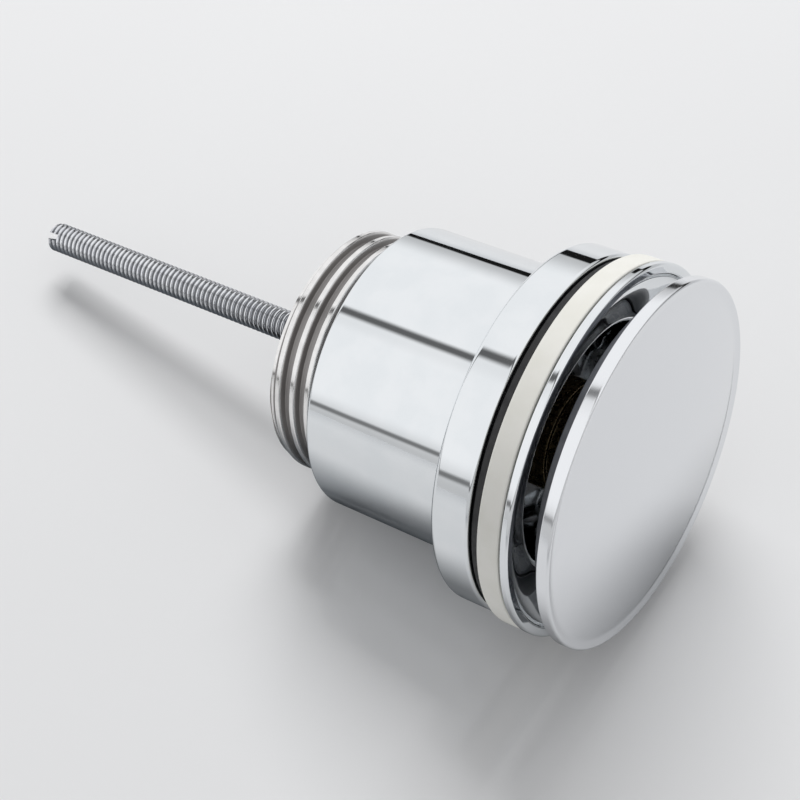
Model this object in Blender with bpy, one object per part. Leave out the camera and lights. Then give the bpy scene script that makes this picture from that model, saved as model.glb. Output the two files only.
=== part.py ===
"""Press-to-open basin waste, clamped by a long tie rod, as its separate pieces.

Metres, +Z up along the axis of the waste, as it is installed. The origin is on that axis in the
plane where the pale top seal bears on the basin. The plug is drawn open and the lower body is
screwed all the way up, so that the two seals meet with no basin between them. Outside the
cartridge every radius follows from the rim's radius, and the barrel's length from the cartridge's.
"""
import math

import bmesh
import bpy
from mathutils import Matrix

# Clearances between pieces
GAP = 0.0003
RUNNING_PLAY = 0.0004
SEAL_PLAY = 0.00035
NECK_PLAY = 0.00065

# Upper flange with its rim, dish, throat and neck
RIM_RADIUS = 0.0309
RIM_THICKNESS = 0.0014
RIM_ROUND = 0.0005
LIP_WIDTH = 0.0016
LIP_ROUND = 0.0003
DISH_WIDTH = 0.0073
DISH_DEPTH = 0.0031
DISH_WALL = 0.0012
THROAT_ROUND = 0.0022
NECK_WALL = 0.00195
NECK_END_SPACE = 0.004

# Two seals that clamp the basin
TOP_SEAL_HEIGHT = 0.0038
TOP_SEAL_SET_BACK = 0.0001
BOTTOM_SEAL_THICKNESS = 0.0013
BOTTOM_SEAL_SET_BACK = 0.0005
SEAL_TONGUE_DEPTH = 0.0029

# Lower body with its clamping ring, barrel and tail; the tail's thread is not cut here
RING_SET_BACK = 0.0008
RING_HEIGHT = 0.0068
RING_ROUND = 0.0008
RING_LAND = 0.0012
BARREL_WALL = 0.002
BARREL_FLOOR = 0.0022
TAIL_STEP = 0.00345
TAIL_LENGTH = 0.0106
TAIL_WALL = 0.00265
TAIL_CHAMFER = 0.0008
RELIEF_DEPTH = 0.0013
RELIEF_WIDTH = 0.0014

# Cross-shaped carriers of the tie rod, one in the neck and one in the tail
ARM_COUNT = 4
ARM_TURN = math.radians(45.0)
ARM_WIDTH = 0.003
ARM_CHAMFER = 0.0008
NECK_ARM_HEIGHT = 0.003
NECK_HUB_WALL = 0.0035
NECK_HUB_HEIGHT = 0.0047
TAIL_ARM_HEIGHT = 0.004
TAIL_ARM_RECESS = 0.0028
TAIL_HUB_WALL = 0.0032
TAIL_HUB_RECESS = 0.0018
CLAMP_SPACE = 0.0017

# Tie rod and its fasteners
ROD_RADIUS = 0.0027
ROD_GRIP = 0.0036
ROD_BEYOND_TAIL = 0.0672
ROD_CHAMFER = 0.0006
ROD_SLOT_WIDTH = 0.0012
ROD_SLOT_DEPTH = 0.002
SEAT_WASHER_WIDTH = 0.0026
SEAT_WASHER_THICKNESS = 0.0008
WASHER_WIDTH = 0.0028
WASHER_THICKNESS = 0.0012
NUT_WALL = 0.002
NUT_HEIGHT = 0.005

# Plug: cap, moulded core and its seal
OPEN_GAP = 0.0045
CAP_SET_BACK = 0.0005
CAP_SIDE = 0.0016
CAP_ROUND = 0.0005
CAP_EDGE_ROUND = 0.0003
DOME_RISE = 0.0021
CAP_WALL = 0.0014
CAP_FLANGE_WIDTH = 0.0021
BOSS_WALL = 0.0008
BOSS_FLANGE_WIDTH = 0.0018
BOSS_FLANGE_THICKNESS = 0.0005
CORE_FLANGE_DROP = 0.0008
CORE_LIFT = 0.0004
CORE_LIP = 0.0008
CORE_LIP_HEIGHT = 0.0004
CORE_WALL = 0.0027
CORE_RECESS_DEPTH = 0.0016
RIB_COUNT = 6
RIB_THICKNESS = 0.0012
CAP_SEAL_SET_BACK = 0.003
CAP_SEAL_LIFT = 0.00025

# Cartridge: collar, plunger with its heart-shaped track, turning ring with its pin, spring
COLLAR_DROP = 0.0086
COLLAR_THICKNESS = 0.0031
COLLAR_BRIM = 0.0026
CARTRIDGE_WALL = 0.0015
CARTRIDGE_ROUND = 0.0005
CHAMBER_FLOOR = 0.001
PLUNGER_RADIUS = 0.0052
PLUNGER_STEP = 0.0017
PLUNGER_CROWN = 0.0019
PLUNGER_SKIRT = 0.0031
PLUNGER_END_SPACE = 0.0018
STUD_STEP = 0.001
STUD_NUT_WALL = 0.0012
STUD_NUT_HEIGHT = 0.0024
STUD_NUT_PLAY = 0.0006
ORING_WIRE = 0.0009
TURN_RING_WALL = 0.0018
TURN_RING_HEIGHT = 0.003
TRACK_SWING = math.radians(50.0)
TRACK_WIDTH = 0.0018
TRACK_TOP_WALL = 0.001
TRACK_DEPTH = 0.00135
TRACK_FLOOR_STEP = 0.00008
TRACK_FLOOR_WALL = 0.00045
LATCH_DROP = 0.001
PIN_RADIUS = 0.0006
PIN_TIP_PLAY = 0.0005
KEY_WIDTH = 0.0016
KEY_HEIGHT = 0.001
SPRING_WIRE = 0.0008
SPRING_TURNS = 7

# Flat sides of round pieces, steps of curves, and what the mesh tools need
ROUND = 44
MEDIUM = 24
SMALL = 16
PIN_SIDES = 12
CORNER_STEPS = 2
ROUND_STEPS = 3
UNDERSIDE_STEPS = 4
CURVE_STEPS = 6
SPRING_STEPS = 12
WELD = 1e-7
SMOOTH_ANGLE = math.radians(35.0)
CUT_MARGIN = 0.002

# Radii that follow from the sizes above, from the rim inwards
TOP_SEAL_RADIUS = RIM_RADIUS - TOP_SEAL_SET_BACK
LIP_RADIUS = RIM_RADIUS - LIP_WIDTH
FLOOR_START = LIP_RADIUS - DISH_WIDTH
THROAT_RADIUS = FLOOR_START - THROAT_ROUND
NECK_RADIUS = THROAT_RADIUS + NECK_WALL
RING_RADIUS = RIM_RADIUS - RING_SET_BACK
BOTTOM_SEAL_RADIUS = RING_RADIUS - BOTTOM_SEAL_SET_BACK
LOWER_BORE_RADIUS = NECK_RADIUS + NECK_PLAY
BARREL_RADIUS = LOWER_BORE_RADIUS + BARREL_WALL
TAIL_RADIUS = BARREL_RADIUS - TAIL_STEP
TAIL_BORE_RADIUS = TAIL_RADIUS - TAIL_WALL
CAP_RADIUS = RIM_RADIUS - CAP_SET_BACK
CAP_RECESS_RADIUS = CAP_RADIUS - CAP_FLANGE_WIDTH
CORE_RADIUS = CAP_RECESS_RADIUS - RUNNING_PLAY
CORE_SEAT_RADIUS = FLOOR_START
CAP_SEAL_RADIUS = LIP_RADIUS - CAP_SEAL_SET_BACK
ROD_HOLE_RADIUS = ROD_RADIUS + GAP
NECK_HUB_RADIUS = ROD_HOLE_RADIUS + NECK_HUB_WALL
TAIL_HUB_RADIUS = ROD_HOLE_RADIUS + TAIL_HUB_WALL
SEAT_WASHER_RADIUS = ROD_HOLE_RADIUS + SEAT_WASHER_WIDTH
WASHER_RADIUS = ROD_HOLE_RADIUS + WASHER_WIDTH
NUT_FLAT_RADIUS = ROD_HOLE_RADIUS + NUT_WALL

# Radii that follow from the plunger's, from its track inwards and then outwards
TRACK_FLOOR_RADIUS = PLUNGER_RADIUS - TRACK_DEPTH
POCKET_RADIUS = TRACK_FLOOR_RADIUS - TRACK_FLOOR_WALL
PLUNGER_NECK_RADIUS = PLUNGER_RADIUS - PLUNGER_STEP
STUD_RADIUS = PLUNGER_NECK_RADIUS - STUD_STEP
GUIDE_RADIUS = PLUNGER_RADIUS + RUNNING_PLAY
SPIGOT_RADIUS = GUIDE_RADIUS + TURN_RING_WALL
CHAMBER_RADIUS = SPIGOT_RADIUS + GAP
CARTRIDGE_RADIUS = CHAMBER_RADIUS + CARTRIDGE_WALL
NECK_HOLE_RADIUS = PLUNGER_NECK_RADIUS + RUNNING_PLAY
ORING_RADIUS = PLUNGER_NECK_RADIUS + GAP + ORING_WIRE / 2
STUD_HOLE_RADIUS = STUD_RADIUS + GAP
STUD_NUT_FLAT_RADIUS = STUD_HOLE_RADIUS + STUD_NUT_WALL
BOSS_POCKET_RADIUS = STUD_NUT_FLAT_RADIUS / math.cos(math.pi / 6) + STUD_NUT_PLAY
BOSS_RADIUS = BOSS_POCKET_RADIUS + BOSS_WALL
BOSS_FLANGE_RADIUS = BOSS_RADIUS + BOSS_FLANGE_WIDTH

# Heights of the rim, the plug and the cartridge, from the basin upwards and then down
RIM_BOTTOM = TOP_SEAL_HEIGHT + GAP
RIM_TOP = RIM_BOTTOM + RIM_THICKNESS
DISH_FLOOR = RIM_TOP - DISH_DEPTH
TRAVEL = OPEN_GAP - GAP
CAP_BOTTOM = RIM_TOP + OPEN_GAP
CAP_EDGE = CAP_BOTTOM + CAP_SIDE
CORE_FLANGE_BOTTOM = CAP_BOTTOM - CORE_FLANGE_DROP
CORE_BOTTOM = DISH_FLOOR + TRAVEL + CORE_LIFT
COLLAR_TOP = CAP_BOTTOM - COLLAR_DROP
COLLAR_LEDGE = COLLAR_TOP - COLLAR_THICKNESS
COLLAR_BRIM_BOTTOM = COLLAR_TOP - COLLAR_BRIM
ORING_HEIGHT = COLLAR_TOP - COLLAR_THICKNESS / 2
PLUNGER_NECK_TOP = COLLAR_TOP + TRAVEL
STUD_NUT_BOTTOM = PLUNGER_NECK_TOP + GAP
STUD_NUT_TOP = STUD_NUT_BOTTOM + STUD_NUT_HEIGHT
PLUNGER_SHOULDER = COLLAR_LEDGE - GAP
POCKET_TOP = PLUNGER_SHOULDER - PLUNGER_CROWN
PIN_HEIGHT = PLUNGER_SHOULDER - TRAVEL - TRACK_WIDTH / 2 - TRACK_TOP_WALL
TURN_RING_TOP = PIN_HEIGHT + TURN_RING_HEIGHT / 2
TURN_RING_BOTTOM = PIN_HEIGHT - TURN_RING_HEIGHT / 2
CHAMBER_LEDGE = TURN_RING_BOTTOM - GAP
PLUNGER_END = CHAMBER_LEDGE - PLUNGER_SKIRT
CHAMBER_END = PLUNGER_END - TRAVEL - PLUNGER_END_SPACE
ROD_TOP = CHAMBER_END - CHAMBER_FLOOR - GAP
CARTRIDGE_BOTTOM = ROD_TOP - ROD_GRIP

# Heights of the carriers, the fasteners and the lower body, from the cartridge down
SEAT_WASHER_TOP = CARTRIDGE_BOTTOM - GAP
SEAT_WASHER_BOTTOM = SEAT_WASHER_TOP - SEAT_WASHER_THICKNESS
NECK_HUB_TOP = SEAT_WASHER_BOTTOM - GAP
NECK_END = NECK_HUB_TOP - NECK_HUB_HEIGHT
WASHER_TOP = NECK_END - GAP
WASHER_BOTTOM = WASHER_TOP - WASHER_THICKNESS
NUT_TOP = WASHER_BOTTOM - GAP
NUT_BOTTOM = NUT_TOP - NUT_HEIGHT
LOWER_BORE_END = NECK_END - NECK_END_SPACE
RING_TOP = -(BOTTOM_SEAL_THICKNESS + 2 * GAP)
RING_BOTTOM = RING_TOP - RING_HEIGHT
TAIL_SHOULDER = LOWER_BORE_END - BARREL_FLOOR
RELIEF_END = TAIL_SHOULDER - RELIEF_WIDTH
TAIL_END = TAIL_SHOULDER - TAIL_LENGTH
TAIL_HUB_TOP = NUT_BOTTOM - CLAMP_SPACE
TAIL_HUB_BOTTOM = TAIL_END + TAIL_HUB_RECESS
ROD_TIP = TAIL_END - ROD_BEYOND_TAIL

# Finishes: colour, metallic, roughness
CHROME = ("chrome", (0.80, 0.81, 0.83), 1.0, 0.06)
BRASS = ("brass", (0.78, 0.62, 0.32), 1.0, 0.28)
ZINC = ("zinc_plated_steel", (0.60, 0.62, 0.66), 1.0, 0.30)
STAINLESS = ("stainless_steel", (0.70, 0.70, 0.70), 1.0, 0.22)
PALE_RUBBER = ("pale_seal_rubber", (0.78, 0.77, 0.73), 0.0, 0.50)
BLACK_RUBBER = ("black_rubber", (0.015, 0.015, 0.016), 0.0, 0.55)
ACETAL = ("acetal", (0.72, 0.72, 0.70), 0.0, 0.38)
BLACK_PLASTIC = ("black_moulding", (0.025, 0.025, 0.028), 0.0, 0.42)


def clear_scene():
    """Remove whatever the scene holds."""
    for item in list(bpy.data.objects):
        bpy.data.objects.remove(item, do_unlink=True)


def arc(centre, radii, start, end, steps):
    """Points of an elliptical arc between two angles in degrees, both ends included."""
    points = []
    for step in range(steps + 1):
        angle = math.radians(start + (end - start) * step / steps)
        points.append((centre[0] + radii[0] * math.cos(angle), centre[1] + radii[1] * math.sin(angle)))
    return points


def corner(radius, height, size, start, steps=CORNER_STEPS):
    """Rounded outer corner at (radius, height), swept a quarter turn from the start angle."""
    middle = math.radians(start + 45.0)
    centre = (radius - math.copysign(size, math.cos(middle)), height - math.copysign(size, math.sin(middle)))
    return arc(centre, (size, size), start, start + 90.0, steps)


def link(name, shape, finish=None):
    """Put a bmesh into the scene as a named object, smooth where it is round."""
    bmesh.ops.recalc_face_normals(shape, faces=shape.faces)
    mesh = bpy.data.meshes.new(name)
    shape.to_mesh(mesh)
    shape.free()
    mesh.shade_smooth()
    mesh.set_sharp_from_angle(angle=SMOOTH_ANGLE)
    item = bpy.data.objects.new(name, mesh)
    bpy.context.scene.collection.objects.link(item)
    if finish:
        mesh.materials.append(material_for(name, finish))
    return item


def material_for(name, finish):
    """Principled material of one piece."""
    label, colour, metallic, roughness = finish
    material = bpy.data.materials.new(f"{name}_{label}")
    material.use_nodes = True
    shader = material.node_tree.nodes["Principled BSDF"]
    shader.inputs["Base Color"].default_value = (*colour, 1.0)
    shader.inputs["Metallic"].default_value = metallic
    shader.inputs["Roughness"].default_value = roughness
    return material


def turned(name, profile, finish=None, sides=ROUND):
    """Turn a section of (radius, height) points about Z; it may start and end on the axis."""
    shape = bmesh.new()
    verts = [shape.verts.new((radius, 0.0, height)) for radius, height in profile]
    pairs = list(zip(verts, verts[1:]))
    if profile[0][0] > 0.0:
        pairs.append((verts[-1], verts[0]))
    edges = [shape.edges.new(pair) for pair in pairs]
    bmesh.ops.spin(shape, geom=verts + edges, cent=(0, 0, 0), axis=(0, 0, 1), angle=math.tau,
                   steps=sides, use_merge=True)
    bmesh.ops.remove_doubles(shape, verts=shape.verts, dist=WELD)
    return link(name, shape, finish)


def prism(name, outline, low, high, finish=None):
    """Extrude an outline of (x, y) points upwards from one height to another."""
    shape = bmesh.new()
    base = shape.faces.new([shape.verts.new((x, y, low)) for x, y in outline])
    top = bmesh.ops.extrude_face_region(shape, geom=[base])["geom"]
    raised = [item for item in top if isinstance(item, bmesh.types.BMVert)]
    bmesh.ops.translate(shape, verts=raised, vec=(0, 0, high - low))
    return link(name, shape, finish)


def lofted(name, rings, finish=None):
    """Closed solid through rings with the same number of points, its sides split into flat triangles."""
    shape = bmesh.new()
    rings = [[shape.verts.new(point) for point in ring] for ring in rings]
    for ring, following in zip(rings, rings[1:]):
        for index in range(len(ring)):
            after = (index + 1) % len(ring)
            shape.faces.new((ring[index], ring[after], following[after], following[index]))
    bmesh.ops.triangulate(shape, faces=shape.faces)
    shape.faces.new(rings[0])
    shape.faces.new(rings[-1])
    return link(name, shape, finish)


def polygon(radius, sides):
    """Corners of a regular polygon."""
    angles = [math.tau * step / sides for step in range(sides)]
    return [(radius * math.cos(angle), radius * math.sin(angle)) for angle in angles]


def rectangle(low, high, bottom, top):
    """Corners of a rectangle, either in plan or as the half section of a plain ring."""
    return [(low, bottom), (high, bottom), (high, top), (low, top)]


def guide(item):
    """Hide an object that only shapes another one."""
    item.hide_render = True
    item.display_type = "WIRE"
    return item


def combine(target, tool, operation):
    """Add a Boolean of the target with a hidden tool."""
    change = target.modifiers.new(f"{operation.lower()}_{tool.name}", "BOOLEAN")
    change.operation = operation
    change.solver = "EXACT"
    change.object = guide(tool)
    return target


def dish_height(radius):
    """Height of the dish's floor at a radius, along its quarter ellipse."""
    reach = (radius - FLOOR_START) / DISH_WIDTH
    return RIM_TOP - DISH_DEPTH * math.sqrt(1.0 - reach * reach)


def dish_curve(offset, top, steps):
    """The dish's ellipse moved outwards by an offset, from the height top inwards to its floor."""
    depth = DISH_DEPTH + offset
    start = -math.degrees(math.asin((RIM_TOP - top) / depth))
    return arc((FLOOR_START, RIM_TOP), (DISH_WIDTH + offset, depth), start, -90.0, steps)


def dome_height(radius):
    """Height of the cap's domed top at a radius."""
    share = radius / (CAP_RADIUS - CAP_ROUND)
    return CAP_EDGE + DOME_RISE * (1.0 - share * share)


def dome_curve(start, end, drop, steps):
    """Points of the dome between two radii, lowered by a drop."""
    radii = [start + (end - start) * step / steps for step in range(steps + 1)]
    return [(radius, dome_height(radius) - drop) for radius in radii]


def arm(name, half_length, bottom, height, angle):
    """Bar right across the bore through the axis, with chamfered upper edges for the water."""
    half = ARM_WIDTH / 2
    top = bottom + height
    section = [(-half, bottom), (half, bottom), (half, top - ARM_CHAMFER), (half - ARM_CHAMFER, top),
               (ARM_CHAMFER - half, top), (-half, top - ARM_CHAMFER)]
    cos, sin = math.cos(angle), math.sin(angle)
    rings = []
    for reach in (-half_length, half_length):
        rings.append([(reach * cos - side * sin, reach * sin + side * cos, z) for side, z in section])
    return lofted(name, rings)


def add_carrier(target, label, half_length, arm_bottom, arm_height, hub_radius, hub_bottom, hub_top):
    """Join arms and a hub to a turned shell, then bore the hub for the tie rod."""
    for index in range(ARM_COUNT // 2):
        angle = ARM_TURN + math.tau * index / ARM_COUNT
        combine(target, arm(f"{label}_arm_{index + 1}", half_length, arm_bottom, arm_height, angle), "UNION")
    profile = [(0.0, hub_bottom)] + corner(hub_radius, hub_bottom, ARM_CHAMFER, -90.0, 1)
    profile += corner(hub_radius, hub_top, ARM_CHAMFER, 0.0, 1) + [(0.0, hub_top)]
    combine(target, turned(f"{label}_hub", profile, None, MEDIUM), "UNION")
    hole = prism(f"{label}_rod_hole", polygon(ROD_HOLE_RADIUS, SMALL), hub_bottom - CUT_MARGIN,
                 hub_top + CUT_MARGIN)
    return combine(target, hole, "DIFFERENCE")


def make_upper_flange():
    """Rim, dish, throat and neck in one casting, with the cross that holds the rod."""
    chamfer = LIP_ROUND
    throat_centre = (FLOOR_START, DISH_FLOOR - THROAT_ROUND)
    profile = [(RIM_RADIUS - chamfer, RIM_BOTTOM), (RIM_RADIUS, RIM_BOTTOM + chamfer)]
    profile += corner(RIM_RADIUS, RIM_TOP, RIM_ROUND, 0.0, ROUND_STEPS)
    profile += corner(LIP_RADIUS, RIM_TOP, LIP_ROUND, 90.0)
    profile += dish_curve(0.0, RIM_TOP - LIP_ROUND, CURVE_STEPS)[1:]
    profile += arc(throat_centre, (THROAT_ROUND, THROAT_ROUND), 90.0, 180.0, ROUND_STEPS)[1:]
    profile += [(THROAT_RADIUS, NECK_END), (NECK_RADIUS - chamfer, NECK_END)]
    profile += [(NECK_RADIUS, NECK_END + chamfer), (NECK_RADIUS, DISH_FLOOR - DISH_WALL)]
    profile += reversed(dish_curve(DISH_WALL, RIM_BOTTOM, UNDERSIDE_STEPS))
    flange = turned("upper_flange", profile, CHROME)
    half_length = THROAT_RADIUS + NECK_WALL / 2
    arm_bottom = NECK_END + chamfer
    return add_carrier(flange, "neck", half_length, arm_bottom, NECK_ARM_HEIGHT, NECK_HUB_RADIUS,
                       NECK_END, NECK_HUB_TOP)


def make_top_seal():
    """Pale moulded ring that fills the space between the flange and the basin."""
    inner = NECK_RADIUS + SEAL_PLAY
    curve = dish_curve(DISH_WALL + GAP, TOP_SEAL_HEIGHT, UNDERSIDE_STEPS)
    profile = corner(TOP_SEAL_RADIUS, 0.0, RIM_ROUND, -90.0)
    profile += corner(TOP_SEAL_RADIUS, TOP_SEAL_HEIGHT, LIP_ROUND, 0.0, 1)
    profile += curve[:-1] + [(inner, curve[-1][1]), (inner, 0.0)]
    return turned("top_seal", profile, PALE_RUBBER)


def seal_tongue():
    """Inner and outer radius of the tongue under the bottom seal, set in from the ring's recess."""
    inner = LOWER_BORE_RADIUS + RING_LAND + SEAL_PLAY
    outer = RING_RADIUS - RING_LAND - SEAL_PLAY
    return inner, outer


def make_bottom_seal():
    """Black washer with a tongue that sits in the lower body's recess."""
    inner, outer = seal_tongue()
    top, under = -GAP, -GAP - BOTTOM_SEAL_THICKNESS
    bore = NECK_RADIUS + RING_LAND
    profile = [(bore, under), (bore, top), (BOTTOM_SEAL_RADIUS, top), (BOTTOM_SEAL_RADIUS, under)]
    profile += [(outer, under), (outer, under - SEAL_TONGUE_DEPTH), (inner, under - SEAL_TONGUE_DEPTH)]
    profile += [(inner, under)]
    return turned("bottom_seal", profile, BLACK_RUBBER)


def make_lower_body():
    """Clamping ring, barrel and tail in one casting, with the cross that runs on the rod."""
    tongue_inner, tongue_outer = seal_tongue()
    recess_inner, recess_outer = tongue_inner - SEAL_PLAY, tongue_outer + SEAL_PLAY
    recess_floor = RING_TOP - SEAL_TONGUE_DEPTH
    relief = TAIL_RADIUS - RELIEF_DEPTH
    profile = [(TAIL_BORE_RADIUS, TAIL_END), (TAIL_RADIUS - TAIL_CHAMFER, TAIL_END)]
    profile += [(TAIL_RADIUS, TAIL_END + TAIL_CHAMFER), (TAIL_RADIUS, RELIEF_END - RELIEF_DEPTH / 2)]
    profile += [(relief, RELIEF_END), (relief, TAIL_SHOULDER)]
    profile += corner(BARREL_RADIUS, TAIL_SHOULDER, RIM_ROUND, -90.0)
    profile += [(BARREL_RADIUS, RING_BOTTOM)]
    profile += corner(RING_RADIUS, RING_BOTTOM, RING_ROUND, -90.0, ROUND_STEPS)
    profile += corner(RING_RADIUS, RING_TOP, RING_ROUND, 0.0, ROUND_STEPS)
    profile += [(recess_outer, RING_TOP), (recess_outer, recess_floor), (recess_inner, recess_floor)]
    profile += [(recess_inner, RING_TOP), (LOWER_BORE_RADIUS, RING_TOP)]
    profile += [(LOWER_BORE_RADIUS, LOWER_BORE_END), (TAIL_BORE_RADIUS, LOWER_BORE_END)]
    body = turned("lower_body", profile, CHROME)
    half_length = (TAIL_BORE_RADIUS + relief) / 2
    return add_carrier(body, "tail", half_length, TAIL_END + TAIL_ARM_RECESS, TAIL_ARM_HEIGHT,
                       TAIL_HUB_RADIUS, TAIL_HUB_BOTTOM, TAIL_HUB_TOP)


def make_tie_rod():
    """Long clamping screw with a screwdriver slot in its free end; its thread is not cut here."""
    shank = ROD_RADIUS - ROD_CHAMFER
    profile = [(0.0, ROD_TIP), (shank, ROD_TIP), (ROD_RADIUS, ROD_TIP + ROD_CHAMFER)]
    profile += [(ROD_RADIUS, ROD_TOP - ROD_CHAMFER), (shank, ROD_TOP), (0.0, ROD_TOP)]
    rod = turned("tie_rod", profile, ZINC, SMALL)
    reach = ROD_RADIUS + CUT_MARGIN
    half = ROD_SLOT_WIDTH / 2
    slot = prism("rod_slot", rectangle(-reach, reach, -half, half), ROD_TIP - CUT_MARGIN,
                 ROD_TIP + ROD_SLOT_DEPTH)
    return combine(rod, slot, "DIFFERENCE")


def make_nut(name, flat, low, high, bore_radius, finish):
    """Hexagon nut with both faces chamfered to a cone; flat is the inner radius of its hexagon."""
    corner_radius = flat / math.cos(math.pi / 6)
    cone = (corner_radius - flat) * math.tan(math.pi / 6)
    outside = prism(f"{name}_hexagon", polygon(corner_radius, 6), low - CUT_MARGIN, high + CUT_MARGIN)
    profile = [(bore_radius, low), (flat, low), (corner_radius + WELD, low + cone)]
    profile += [(corner_radius + WELD, high - cone), (flat, high), (bore_radius, high)]
    return combine(turned(name, profile, finish, SMALL), outside, "INTERSECT")


def make_lock_washer():
    """Flat steel washer between the neck's hub and the lock nut."""
    profile = rectangle(ROD_HOLE_RADIUS, WASHER_RADIUS, WASHER_BOTTOM, WASHER_TOP)
    return turned("lock_washer", profile, ZINC, MEDIUM)


def make_seat_washer():
    """Flat moulded washer that the cartridge stands on, so that it doesn't work loose."""
    profile = rectangle(ROD_HOLE_RADIUS, SEAT_WASHER_RADIUS, SEAT_WASHER_BOTTOM, SEAT_WASHER_TOP)
    return turned("seat_washer", profile, ACETAL, MEDIUM)


def make_cap():
    """Domed chrome cap with a recess under it for the plug's core."""
    profile = dome_curve(0.0, CAP_RECESS_RADIUS, CAP_WALL, UNDERSIDE_STEPS)
    profile += [(CAP_RECESS_RADIUS, CAP_BOTTOM)]
    profile += corner(CAP_RADIUS, CAP_BOTTOM, CAP_EDGE_ROUND, -90.0)
    profile += corner(CAP_RADIUS, CAP_EDGE, CAP_ROUND, 0.0)
    profile += dome_curve(CAP_RADIUS - CAP_ROUND, 0.0, 0.0, CURVE_STEPS)[1:]
    return turned("cap", profile, CHROME)


def make_cap_boss():
    """Threaded boss under the cap, with a flange below the core and a pocket for the nut."""
    top = dome_height(0.0) - CAP_WALL - GAP
    flange_top = CORE_BOTTOM - GAP
    flange_bottom = flange_top - BOSS_FLANGE_THICKNESS
    step = STUD_NUT_TOP + GAP
    profile = [(BOSS_POCKET_RADIUS, flange_bottom), (BOSS_FLANGE_RADIUS, flange_bottom)]
    profile += [(BOSS_FLANGE_RADIUS, flange_top), (BOSS_RADIUS, flange_top), (BOSS_RADIUS, top)]
    profile += [(STUD_HOLE_RADIUS, top), (STUD_HOLE_RADIUS, step), (BOSS_POCKET_RADIUS, step)]
    return turned("cap_boss", profile, BRASS, MEDIUM)


def make_plug_core():
    """Moulded core under the cap, ribbed below and stepped at its edge for the seal."""
    top = dome_height(CORE_RADIUS) - CAP_WALL - GAP
    bore = BOSS_RADIUS + GAP
    lip = CORE_SEAT_RADIUS + CORE_LIP
    recess_outer = CORE_SEAT_RADIUS - CORE_WALL - CORE_LIP
    recess_inner = bore + CORE_WALL
    recess_top = CORE_BOTTOM + CORE_RECESS_DEPTH
    profile = [(bore, CORE_BOTTOM), (recess_inner, CORE_BOTTOM), (recess_inner, recess_top)]
    profile += [(recess_outer, recess_top), (recess_outer, CORE_BOTTOM), (lip, CORE_BOTTOM)]
    profile += [(lip, CORE_BOTTOM + CORE_LIP_HEIGHT), (CORE_SEAT_RADIUS, CORE_BOTTOM + CORE_LIP_HEIGHT)]
    profile += [(CORE_SEAT_RADIUS, CORE_FLANGE_BOTTOM), (CORE_RADIUS, CORE_FLANGE_BOTTOM)]
    profile += [(CORE_RADIUS, top), (bore, top)]
    core = turned("plug_core", profile, BLACK_PLASTIC)
    sink = CORE_LIP_HEIGHT
    for index in range(RIB_COUNT // 2):
        angle = math.tau * index / RIB_COUNT
        ribs = make_rib_pair(index, angle, recess_inner - sink, recess_outer + sink, recess_top + sink)
        combine(core, ribs, "UNION")
    return core


def make_rib_pair(index, angle, inner, outer, top):
    """Two opposite stiffening ribs in the core's recess."""
    shape = bmesh.new()
    half = RIB_THICKNESS / 2
    low = CORE_BOTTOM + GAP
    for side in (1.0, -1.0):
        box = bmesh.ops.create_cube(shape, size=1.0)["verts"]
        bmesh.ops.scale(shape, verts=box, vec=(outer - inner, 2 * half, top - low))
        bmesh.ops.translate(shape, verts=box, vec=(side * (inner + outer) / 2, 0.0, (low + top) / 2))
    bmesh.ops.rotate(shape, verts=shape.verts, cent=(0, 0, 0), matrix=Matrix.Rotation(angle, 3, "Z"))
    return link(f"core_ribs_{index + 1}", shape)


def make_cap_seal():
    """Black lip seal round the core; its underside follows the dish that it closes on."""
    inner = CORE_SEAT_RADIUS + GAP
    notch = CORE_SEAT_RADIUS + CORE_LIP + GAP
    notch_top = CORE_BOTTOM + CORE_LIP_HEIGHT + GAP
    top = CORE_FLANGE_BOTTOM - GAP
    lift = TRAVEL + CAP_SEAL_LIFT
    width = CAP_SEAL_RADIUS - notch
    radii = [notch + width * step / UNDERSIDE_STEPS for step in range(UNDERSIDE_STEPS + 1)]
    profile = [(inner, top), (inner, notch_top), (notch, notch_top)]
    profile += [(radius, dish_height(radius) + lift) for radius in radii]
    profile += [(CAP_SEAL_RADIUS, top)]
    return turned("cap_seal", profile, BLACK_RUBBER)


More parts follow.
